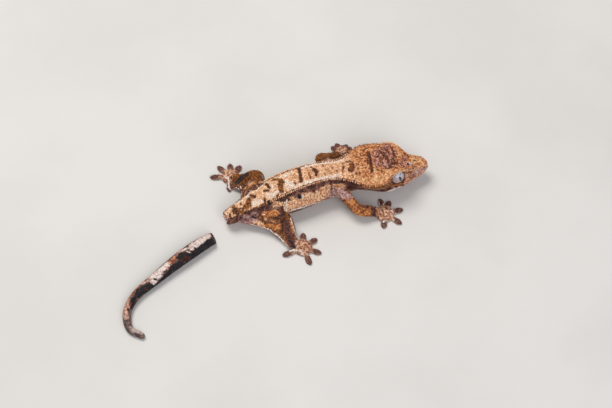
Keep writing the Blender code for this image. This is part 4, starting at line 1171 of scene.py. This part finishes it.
# %% [markdown]
# ## Claws
# A gecko's claw is a small hooked keratin blade at the tip of each pad. It could be a cone, but a
# bent tapered tube shows the hook from the side.
# %% Bend a tapered tube into each claw
claw_heap = bmesh.new()
for palm, tips in FEET:
    for tip in tips:
        way = (Vector(tip) - Vector(palm)).normalized()
        start = Vector((*tip, 0.62))
        rows = []
        for share in np.linspace(0, 1, 6):
            reach, drop = 0.62 * share - 0.1, 0.34 * share**2
            thick = 0.13 * (1 - 0.78 * share)
            rows.append((start.x + way.x * reach, start.y + way.y * reach, start.z - drop, thick, thick))
        add_tube(claw_heap, rows, 10)


def plain_object(name, heap):
    bmesh.ops.recalc_face_normals(heap, faces=heap.faces)
    mesh = bpy.data.meshes.new(name)
    heap.to_mesh(mesh)
    heap.free()
    mesh.shade_smooth()
    obj = linked(name, mesh)
    return obj


claws = plain_object("claws", claw_heap)
print("claws:", len(claws.data.polygons), "faces")

# %% [markdown]
# ## The eyes
# A crested gecko has no moving lids: a clear scale covers a ball with a silver iris and an
# upright slit of a pupil with beaded edges. One ball with a wet clear coat is enough, because the
# clear scale follows the ball. Distances on the ball are stored for the material: from the look's
# middle, forward and up from it, and inside the pupil.
# %% Eyeballs with their own distances
PUPIL_TALL, PUPIL_WIDE = 0.95, 0.42  # mm, half sizes
PUPIL_FORE, PUPIL_DROP = 0.6, 0.45  # mm forward and down from the eye's middle
PUPIL_LEAN = 0.3


def eyeball(name, side):
    centre, look = eye_frame(side)
    heap = bmesh.new()
    bmesh.ops.create_uvsphere(heap, u_segments=96, v_segments=64, radius=1)
    turn = look.to_track_quat("Z", "Y").to_matrix()
    obj = plain_object(name, heap)
    unit = read(obj.data.vertices, "co")
    _, forward, _ = body_frame(EYE_BACK)
    up = (Vector((0, 0, 1)) - look * look.z).normalized()
    world = unit @ np.array(turn).T
    fore = world @ np.array(up.cross(look) if side == RIGHT else look.cross(up)) * EYE_RADIUS
    high = world @ np.array(up) * EYE_RADIUS
    ahead = world @ np.array(look) > 0
    wide = np.hypot(fore, high)
    rise = high + PUPIL_DROP
    waist = PUPIL_WIDE * (1 + 0.22 * np.cos(rise * 2 * math.pi / 0.55))
    across = fore - PUPIL_FORE + PUPIL_LEAN * rise
    half_gap = waist * np.sqrt(np.clip(1 - (rise / PUPIL_TALL) ** 2, 0, 1))
    pupil = np.where(ahead, half_gap - np.abs(across), -2)
    pupil = np.where(np.abs(rise) > PUPIL_TALL, PUPIL_TALL - np.abs(rise) - 0.02, pupil)
    far = np.where(ahead, wide, EYE_RADIUS)
    write_fields(obj, {"pupil": pupil, "wide": far, "fore": fore, "high": high})
    bulge = 1 + 0.035 * np.exp(-((wide / 1.5) ** 2)) * ahead
    world = world * (EYE_RADIUS * bulge)[:, None] + np.array(centre)
    obj.data.vertices.foreach_set("co", world.astype(np.float32).ravel())
    obj.data.update()
    return obj


eyes = [eyeball("eyeball_left", LEFT), eyeball("eyeball_right", RIGHT)]

# %% [markdown]
# ## The dropped tail and the stump
# The tail broke at a natural cleft. Its broken end is cut at a slant and shows dark raw muscle,
# and the stump on the body ends in a ring of pale muscle tips. The tail is cast as the body was.
# %% Cast the tail and cut its broken end
TAIL_VOXEL, TAIL_PITCH = 0.13, 0.33  # mm, and from one of its granules' middles to the next


def tail_rows(steps=8):
    rows = []
    for x, y, half in along(TAIL_LINE, steps):
        tall = half * TAIL_FLATTENING
        rows.append((x, y, tall - TAIL_SUNK, half - COAT_DEPTH, tall - COAT_DEPTH))
    return rows


tail_heap = bmesh.new()
add_tube(tail_heap, tail_rows(), 40)
tail = cast("tail_skin", tail_heap, TAIL_VOXEL)
BREAK_PLACE = np.array((-29.7, -13.9, 2.0))
BREAK_FACING = np.array(Vector((0.88, 0.3, 0.36)).normalized())
points = read(tail.data.vertices, "co")
past = (points - BREAK_PLACE) @ BREAK_FACING + 0.15
points -= np.outer(np.maximum(past, 0), BREAK_FACING)
points[:, 2] = np.maximum(points[:, 2], 0)
tail.data.vertices.foreach_set("co", points.ravel())
tail.data.update()
tail_surface = surface_of(tail)
lay_flat(tail)
tail_map = map_at_points(tail.data)
tail_normals = read(tail.data.vertex_normals, "vector")

TAIL_STROKES = {
    "amber_tail": (
        (0.95, 176.2, 256.6, 173, 259.6, 170.6, 262), (0.4, 168.6, 266, 168, 269),
        (0.34, 160.4, 272.6, 164.6, 274), (0.36, 208.6, 237.4, 209.8, 234.6),
        (0.65, 138.4, 287, 134, 291.2, 130.6, 296), (0.55, 129.6, 301.6, 129.2, 306.6),
        (0.3, 142.6, 287.6, 147, 287), (0.26, 125.2, 312.6, 125.8, 316),
    ),
    "smoke_tail": (
        (0.8, 122.6, 321.6, 125, 327, 131, 334, 138, 337), (0.36, 129.6, 313, 130.4, 319, 132.6, 325.6),
    ),
    "bone_tail": (
        (0.6, 131, 327.4, 136, 330.6, 141.6, 332.8), (0.55, 133, 331, 133.6, 331.6),
    ),
    "cream_tail": (
        (0.5, 182, 249.2, 178.6, 252.4), (0.65, 148.6, 277.6, 149, 280.6),
        (0.55, 144.6, 282.6, 141.6, 283.4), (0.85, 128.4, 300.4, 126.2, 305, 125.2, 309.6),
        (0.6, 123.2, 309.6, 124, 314.6, 125, 317.8), (0.5, 126.6, 312, 127.4, 317),
    ),
    "pale_tail": (
        (1.05, 207.6, 236, 203, 238, 197.4, 242.4, 191.6, 245.6), (0.85, 206, 238.6, 200, 242, 195, 246),
        (0.5, 192.6, 249.6, 187, 248.6, 182.6, 250.4), (0.34, 189.4, 253, 187.2, 252),
        (0.34, 181.4, 263.6, 182.2, 265), (1.05, 166.6, 264.6, 162, 268.4, 157, 272.6, 151.6, 276.4),
        (0.75, 161.6, 274.4, 157, 277.4, 152.6, 281.6), (0.4, 156.4, 281.4, 153.6, 283.6),
    ),
    "dark_tail": (
        (1, 214.2, 237.4, 211, 242, 206, 246.6),
        # The long stroke on the next line runs along the tail's lower edge: partly dark pigment and partly
        # painted shade.
        (0.9, 214.6, 243, 207, 249.6, 199, 254.6, 190, 260.6, 182, 266.6, 174, 272),
        (0.6, 171, 274, 163, 280, 154, 288, 147, 293),
        (0.6, 208.4, 240.6, 203.6, 245.4, 198.6, 249.6, 192.6, 253.4),
        (0.8, 205, 249.6, 198, 252.8, 191, 257), (0.3, 194.6, 248, 195.6, 248.8),
        (0.24, 187.6, 249.8, 188.6, 250.2), (0.26, 201, 245, 201.6, 245.6),
        (0.8, 190, 256, 185, 254, 180.4, 254.6), (0.9, 189, 260, 183, 257.6, 179.6, 257),
        (0.34, 176.4, 257.6, 177, 258.4), (1.05, 181, 262.4, 177, 266.4, 172.6, 268.6),
        (0.8, 187, 263, 185, 263.8), (0.7, 171.6, 268.6, 169, 273, 165, 276.4),
        (0.45, 166, 275.6, 160.6, 280.2, 155.6, 285.2, 150.6, 287.4), (0.3, 162.6, 274.4, 165, 274.6),
        (0.34, 154.4, 279, 156.6, 279.6), (0.3, 149.6, 282.6, 150, 283.6),
        (0.95, 150.6, 286.2, 146, 287, 142.6, 289), (0.8, 145, 291, 141, 293, 138.6, 295.6),
        (0.6, 138, 289.6, 136.4, 295.6, 133, 301.6), (0.5, 132.6, 298.6, 131, 301.6),
        (0.6, 134.4, 302.6, 131.6, 307.4), (0.24, 127.6, 308.6, 128.6, 311.6),
        (0.2, 129.6, 303.4, 130.2, 304.2),
    ),
    "rust_tail": (
        (0.6, 188.6, 258, 184.6, 257.6), (0.45, 184.6, 260.6, 181, 260.4), (0.24, 144, 288.4, 145.6, 289),
        (0.24, 191.4, 251.2, 193, 250.8),
    ),
}


nothing = np.full(len(points), FAR_OUTSIDE)
tail_fields = {key: nothing for key in fields}
tail_fields |= {
    **{key: inside(points, laid(strokes, tail_surface, 1.5)) for key, strokes in TAIL_STROKES.items()},
    "under": -tail_normals[:, 2] * 2 - 0.9,
    "raw": np.minimum(past, 1.2 - np.linalg.norm(points - BREAK_PLACE, axis=1) * 0.2),
}
# The tail skin's low tip value gives it the painted shade of the clefts between its scales.
write_fields(tail, {**tail_fields, "tip": np.full(len(points), 0.1), "grain": np.full(len(points), 0.5)})

tail_allowed = (points[:, 2] > 0.2) & (tail_normals[:, 2] > -0.5) & (past < -0.1)
tail_picked = scatter(points, np.full(len(points), TAIL_PITCH), tail_allowed, seed=9)
size = draw.uniform(0.16, 0.22, len(tail_picked))
tail_values = {key: value[tail_picked] for key, value in tail_fields.items()}
tail_values["grain"] = draw.uniform(0, 1, len(tail_picked))
tail_way = np.tile((1.0, 0.75, 0.0), (len(tail_picked), 1))
tail_scales = set_studs(
    "granules_tail", points[tail_picked], tail_normals[tail_picked], tail_way, size * 1.3, size, size * 0.42,
    tail_values, tail_map[tail_picked], GRANULE_MOULD,
)

# %% The raw ends
STUMP_END = 69.7


def raw_tips(name, middle, facing, radius, count, long, thick):
    """A ring of short blunt muscle tips round a smaller one in the middle."""
    heap = bmesh.new()
    facing = Vector(facing).normalized()
    turn = facing.to_track_quat("Z", "Y").to_matrix()
    spots = [(0.0, 0.0)] + [(2 * math.pi * i / count, radius) for i in range(count)]
    for angle, far in spots:
        own = draw.uniform(0.75, 1.2)
        spoke = turn @ Vector((math.cos(angle), math.sin(angle), 0))
        rows = []
        for share in np.linspace(0, 1, 6):
            place = Vector(middle) + spoke * (far * (1 + 0.25 * share)) + facing * (long * own * share - 0.5)
            slim = thick * own * (1 - 0.6 * share**1.5)
            rows.append((*place, slim, slim))
        add_tube(heap, rows, 12)
    return plain_object(name, heap)


_, stump_forward, _ = body_frame(69)
stump_flesh = raw_tips("stump_flesh", on_body(STUMP_END, 0, 3.5), -stump_forward, 0.85, 6, 0.95, 0.45)
tail_flesh = raw_tips("tail_flesh", BREAK_PLACE - BREAK_FACING * 0.35, BREAK_FACING, 0.95, 7, 0.55, 0.52)

# %% [markdown]
# ## Finishes
# Each finish starts from what the real surface is. Gecko skin is dry keratin over pigment: dull,
# with a faint sheen on each scale. Its colours come in layers, as pigments do, each laid over the
# last where its strokes say so, with ragged edges and a mottle of its own. Pattern sizes are in
# millimetres.
# %% Helpers for finishes
def colour(code):
    """An sRGB hex value as Blender's linear colour."""
    parts = [int(code[i : i + 2], 16) / 255 for i in (1, 3, 5)]
    return (*[c / 12.92 if c <= 0.04045 else ((c + 0.055) / 1.055) ** 2.4 for c in parts], 1)


def add(tree, kind, inputs, **settings):
    """A node with its settings; each input is a value or another node's output."""
    made = tree.nodes.new(kind)
    for name, value in settings.items():
        setattr(made, name, value)
    for key, value in inputs.items():
        if isinstance(value, bpy.types.NodeSocket):
            tree.links.new(value, made.inputs[key])
        else:
            made.inputs[key].default_value = value
    return made.outputs


def new_finish(name, constants):
    """A material whose shader has these constants on its own sockets."""
    made = bpy.data.materials.new(name)
    made.use_nodes = True
    tree = made.node_tree
    shader = tree.nodes["Principled BSDF"]
    for socket, value in constants.items():
        shader.inputs[socket].default_value = value
    return made, tree, shader


def per_metre(size_mm):
    """A texture's scale for a pattern of this size."""
    return 1000 / size_mm


def field(tree, name):
    """A value that the mesh carries at each point."""
    return add(tree, "ShaderNodeAttribute", {}, attribute_name=name)["Fac"]


def noise(tree, place, size_mm, detail):
    inputs = {"Vector": place, "Scale": per_metre(size_mm), "Detail": detail}
    return add(tree, "ShaderNodeTexNoise", inputs)["Fac"]


def times_plus(tree, value, factor, rest):
    return add(tree, "ShaderNodeMath", {0: value, 1: factor, 2: rest}, operation="MULTIPLY_ADD")[0]


def step(tree, value, low, high):
    """0 below low, 1 above high and a smooth step between."""
    return add(tree, "ShaderNodeMapRange", {0: value, 1: low, 2: high}, interpolation_type="SMOOTHSTEP")[0]


def mix(tree, share, first, second):
    """Two colours mixed, each of them a hex value or another node's output."""
    first, second = (colour(end) if isinstance(end, str) else end for end in (first, second))
    return add(tree, "ShaderNodeMix", {0: share, 6: first, 7: second}, data_type="RGBA")[2]


# %% Layers of pigment: field, light colour, dark colour, mottle, how soft and how ragged its edge is
FLANK = ("#926353", "#46231A")  # light, dark
TAIL_SKIN = ("#8B6E63", "#513B36")
BODY_LAYERS = (
    ("limb", "#AE724C", "#532B1C", 0.40, 0.50, 0.9),
    ("muzzle", "#EAB698", "#B4765A", 0.30, 0.60, 1.2),
    ("plum", "#74473D", "#3F221B", 0.40, 0.25, 0.6),
    ("peach", "#FCD2AC", "#CE885E", 0.32, 0.25, 1.2),
    ("amber", "#E09A62", "#A05C36", 0.34, 0.25, 1.0),
    ("foot", "#F3C6A6", "#A0624A", 0.36, 0.35, 0.8),
    ("pad", "#8A5F55", "#54332C", 0.34, 0.55, 1.0),
    ("band", "#F9CDA9", "#DC9E72", 0.34, 0.07, 0.8),
    ("crown", "#E9AA79", "#A65D36", 0.32, 1.30, 1.5),
    ("apricot", "#F6C498", "#CA8656", 0.30, 0.40, 1.2),
    ("rose", "#DDA18A", "#783A2A", 0.34, 0.45, 1.0),
    ("blush", "#D4AEA6", "#A0736C", 0.40, 0.70, 0.6),
    ("lobe", "#FCE9D8", "#F3CBAC", 0.40, 0.14, 0.8),
    ("gold", "#A4652F", "#552C12", 0.34, 0.14, 0.9),
    ("dusk", "#443031", "#221516", 0.45, 0.20, 0.6),
    ("dark", "#764124", "#34160B", 0.30, 0.14, 0.8),
    ("pale", "#FBF1E8", "#EFD5C2", 0.40, 0.08, 0.4),
    ("opal", "#D6CDE8", "#A99BC4", 0.50, 0.08, 0.1),
    ("black", "#161014", "#080506", 0.50, 0.08, 0.2),
    ("under", "#D8B49C", "#B78A70", 0.90, 0.60, 0.4),
)
TAIL_LAYERS = (
    ("amber_tail", "#DB9A7C", "#8E4C38", 0.45, 0.22, 0.6),
    ("bone_tail", "#D2BDB2", "#A08880", 0.50, 0.35, 0.5),
    ("cream_tail", "#E9BFA9", "#B07F70", 0.45, 0.20, 0.6),
    ("pale_tail", "#F6E6DE", "#E0C2B4", 0.40, 0.10, 0.4),
    ("smoke_tail", "#7C6864", "#4E3F3D", 0.50, 0.40, 0.5),
    ("dark_tail", "#241A20", "#0A0608", 0.50, 0.12, 0.5),
    ("rust_tail", "#5E2A20", "#35120D", 0.40, 0.20, 0.5),
    ("raw", "#3B1215", "#19070A", 0.50, 0.08, 0.1),
)


def scaly_skin(name, base, layers, roughness, bump_mm):
    """Dry keratin scales over layers of pigment, with painted shade in the clefts between the scales and
    painted light on their tops.
    """
    made, tree, shader = new_finish(name, {
        "Roughness": roughness,
        "IOR": 1.5,
        "Specular IOR Level": 0.35,
        "Subsurface Weight": 0.12,
        "Subsurface Radius": (1.0, 0.45, 0.25),
        "Subsurface Scale": 0.0006,
    })
    place = add(tree, "ShaderNodeTexCoord", {})["Object"]
    grain, tip = field(tree, "grain"), field(tree, "tip")
    edge = add(tree, "ShaderNodeMath", {0: noise(tree, place, 0.9, 3.0), 1: 0.5}, operation="SUBTRACT")[0]
    own_edge = add(tree, "ShaderNodeMath", {0: grain, 1: 0.5}, operation="SUBTRACT")[0]
    edge = times_plus(tree, own_edge, 0.35, edge)
    shown = None
    for mark, light, dark, mottle, soft, ragged in (("", *base, 0.8, 0, 0), *layers):
        share = times_plus(tree, grain, 0.2, noise(tree, place, mottle * 2, 2.5))
        own = mix(tree, step(tree, share, 0.50, 0.70), dark, light)
        if shown is None:
            shown = own
            continue
        reach = times_plus(tree, edge, ragged, field(tree, mark))
        shown = mix(tree, step(tree, reach, -soft, soft), shown, own)
    value = add(tree, "ShaderNodeMapRange", {0: grain, 3: 0.82, 4: 1.14})[0]
    # Painted shade and light: by the tip share, the skin low between the scales is darkened and each scale's
    # top is lightened.
    painted_shade_and_top_light = add(tree, "ShaderNodeMapRange", {0: tip, 1: -0.1, 2: 0.7, 3: 0.62, 4: 1.10})[0]
    value = add(tree, "ShaderNodeMath", {0: value, 1: painted_shade_and_top_light}, operation="MULTIPLY")[0]
    shown = add(tree, "ShaderNodeHueSaturation", {"Saturation": 1.05, "Value": value, "Color": shown})[0]
    tree.links.new(shown, shader.inputs["Base Color"])
    cells = {"Vector": place, "Scale": per_metre(bump_mm)}
    cells = add(tree, "ShaderNodeTexVoronoi", cells, feature="DISTANCE_TO_EDGE")["Distance"]
    height = step(tree, cells, 0.0, 0.25)
    bump = add(tree, "ShaderNodeBump", {"Height": height, "Strength": 0.5, "Distance": 0.00004})[0]
    tree.links.new(bump, shader.inputs["Normal"])
    return made


skin_finish = scaly_skin("gecko_skin_dry_keratin", FLANK, BODY_LAYERS, 0.62, 0.22)
scale_finish = scaly_skin("gecko_scales_dry_keratin", FLANK, BODY_LAYERS, 0.5, 0.16)
tail_finish = scaly_skin("tail_skin_dry_keratin", TAIL_SKIN, TAIL_LAYERS, 0.6, 0.22)
tail_scale_finish = scaly_skin("tail_scales_dry_keratin", TAIL_SKIN, TAIL_LAYERS, 0.5, 0.16)
print("finishes so far:", len(bpy.data.materials))


# %% Lashes, claws, raw muscle and the wet eye
def lash_keratin(name, root_code, tip_code):
    """Thin translucent keratin: warm at its root and paler at its tip."""
    made, tree, shader = new_finish(name, {
        "Roughness": 0.42,
        "IOR": 1.55,
        "Subsurface Weight": 0.25,
        "Subsurface Radius": (1.0, 0.6, 0.4),
        "Subsurface Scale": 0.0004,
    })
    share = times_plus(tree, field(tree, "grain"), 0.3, field(tree, "tip"))
    shown = mix(tree, step(tree, share, 0.2, 1.0), root_code, tip_code)
    tree.links.new(shown, shader.inputs["Base Color"])
    return made


def mottled(name, light_code, dark_code, size_mm, roughness, coat=0.0):
    """One plain surface with a mottle of two colours and fine bumps of the same size."""
    constants = {"Roughness": roughness, "Coat Weight": coat, "Coat Roughness": 0.08}
    made, tree, shader = new_finish(name, constants)
    place = add(tree, "ShaderNodeTexCoord", {})["Object"]
    cloud = noise(tree, place, size_mm, 4.0)
    shown = mix(tree, step(tree, cloud, 0.35, 0.65), dark_code, light_code)
    tree.links.new(shown, shader.inputs["Base Color"])
    bump = add(tree, "ShaderNodeBump", {"Height": cloud, "Strength": 0.3, "Distance": size_mm * MM * 0.1})[0]
    tree.links.new(bump, shader.inputs["Normal"])
    return made


def wet_eye(name):
    """A silver iris with fine dark veins and a slit pupil, under a wet clear scale; its upper part is
    painted paler and bluer, a painted reflection of the sky.
    """
    constants = {"Roughness": 0.35, "IOR": 1.38, "Coat Weight": 1.0, "Coat Roughness": 0.03}
    made, tree, shader = new_finish(name, constants)
    pupil, wide, fore, high = (field(tree, key) for key in ("pupil", "wide", "fore", "high"))
    angle = add(tree, "ShaderNodeMath", {0: high, 1: fore}, operation="ARCTAN2")[0]
    spread = add(tree, "ShaderNodeCombineXYZ", {0: angle, 1: wide})[0]
    veins = {"Vector": spread, "Scale": 2.6, "Detail": 5.0, "Roughness": 0.65}
    share = step(tree, add(tree, "ShaderNodeTexNoise", veins)["Fac"], 0.36, 0.56)
    # The upper colours are paler and bluer than the lower: a painted reflection of the sky over the silver
    # iris.
    lower, iris_with_painted_sky = mix(tree, share, "#6E5250", "#D2B9B6"), mix(tree, share, "#857F94", "#E9ECF8")
    shown = mix(tree, step(tree, high, -0.6, 1.2), lower, iris_with_painted_sky)
    shown = mix(tree, step(tree, wide, 1.9, 2.3), shown, "#9A7468")
    shown = mix(tree, step(tree, wide, 2.3, 2.48), shown, "#2A1A18")
    shown = mix(tree, step(tree, pupil, -0.04, 0.04), shown, "#08060A")
    tree.links.new(shown, shader.inputs["Base Color"])
    return made


lash_finish = lash_keratin("eyelash_keratin", "#C98453", "#F6CFA4")
claw_finish = mottled("claw_keratin", "#4A332A", "#1E130F", 0.4, 0.3)
stump_finish = mottled("pale_muscle_wet", "#F3DCD2", "#C98B7C", 0.5, 0.35, 0.6)
wound_finish = mottled("raw_muscle_wet", "#4A1A1B", "#1C0809", 0.5, 0.3, 0.6)
eye_finish = wet_eye("clear_scale_over_silver_iris")

# %% [markdown]
# ## Put each piece in the model's frame
# One skin stands for the body's solids, another for the dropped tail's, and each eyeball for its
# own solid. Nothing moves on this model, so every piece rides on the one body there is.
# %% Finish, settle and declare each piece
FLESH = [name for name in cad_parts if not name.startswith(("eye_", "dropped_tail"))]
TAIL_NODES = [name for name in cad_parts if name.startswith("dropped_tail")]
pieces = [
    (skin, skin_finish, "back_skin", FLESH),
    (scale_pieces[0], scale_finish, "head_skin", []),
    (scale_pieces[1], scale_finish, "back_skin", []),
    (scale_pieces[2], scale_finish, "back_skin", []),
    (scale_pieces[3], scale_finish, "limb_skin", []),
    (spines, scale_finish, "back_skin", []),
    (lashes, lash_finish, "head_skin", []),
    (lips, scale_finish, "head_skin", []),
    (lids, scale_finish, "head_skin", []),
    (tubercles, scale_finish, "limb_skin", []),
    (claws, claw_finish, "limb_skin", []),
    (eyes[0], eye_finish, "eye", ["eye_left"]),
    (eyes[1], eye_finish, "eye", ["eye_right"]),
    (tail, tail_finish, "tail_skin", TAIL_NODES),
    (tail_scales, tail_scale_finish, "tail_skin", []),
    (stump_flesh, stump_finish, "tail_skin", []),
    (tail_flesh, wound_finish, "tail_skin", []),
]
for obj, finish, slot_name, nodes in pieces:
    obj.data.materials.clear()
    obj.data.materials.append(finish)
    obj.data.shade_smooth()
    settle(obj)
    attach(obj, "root")
    if nodes:
        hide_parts(*nodes)
print("pieces:", len(pieces))

# %% [markdown]
# ## The studio
# A museum photograph uses a plain pale floor and soft light from large boxes: one high behind the
# animal, which brings out its relief as the sky does in the picture, and a slightly weaker one in
# front.
# %% Floor, light and the view transform
floor_heap = bmesh.new()
bmesh.ops.create_grid(floor_heap, x_segments=8, y_segments=8, size=1.5)
floor = plain_object("pale_floor", floor_heap)
floor.data.materials.append(mottled("matt_pale_board", "#DCD9D4", "#D6D3CE", 60, 0.85))
floor.location.z = -0.00002


def soft_box(name, place, target, size, watts, tint):
    data = bpy.data.lights.new(name, "AREA")
    data.shape = "SQUARE"
    data.size, data.energy = size, watts
    data.color = colour(tint)[:3]
    obj = linked(name, data)
    obj.location = place
    way = Vector(target) - Vector(place)
    obj.rotation_euler = way.to_track_quat("-Z", "Y").to_euler()


soft_box("sky_box", (-0.25, 0.30, 0.75), (0, 0, 0), 0.42, 4.9, "#FFFCF8")
soft_box("front_box", (0.30, -0.70, 0.60), (0, 0, 0), 0.6, 4.4, "#F8F8FF")
world = bpy.data.worlds.new("pale_room")
world.use_nodes = True
world.node_tree.nodes["Background"].inputs["Color"].default_value = colour("#E6E8EE")
world.node_tree.nodes["Background"].inputs["Strength"].default_value = 0.36
bpy.context.scene.world = world
bpy.context.scene.view_settings.view_transform = "Standard"
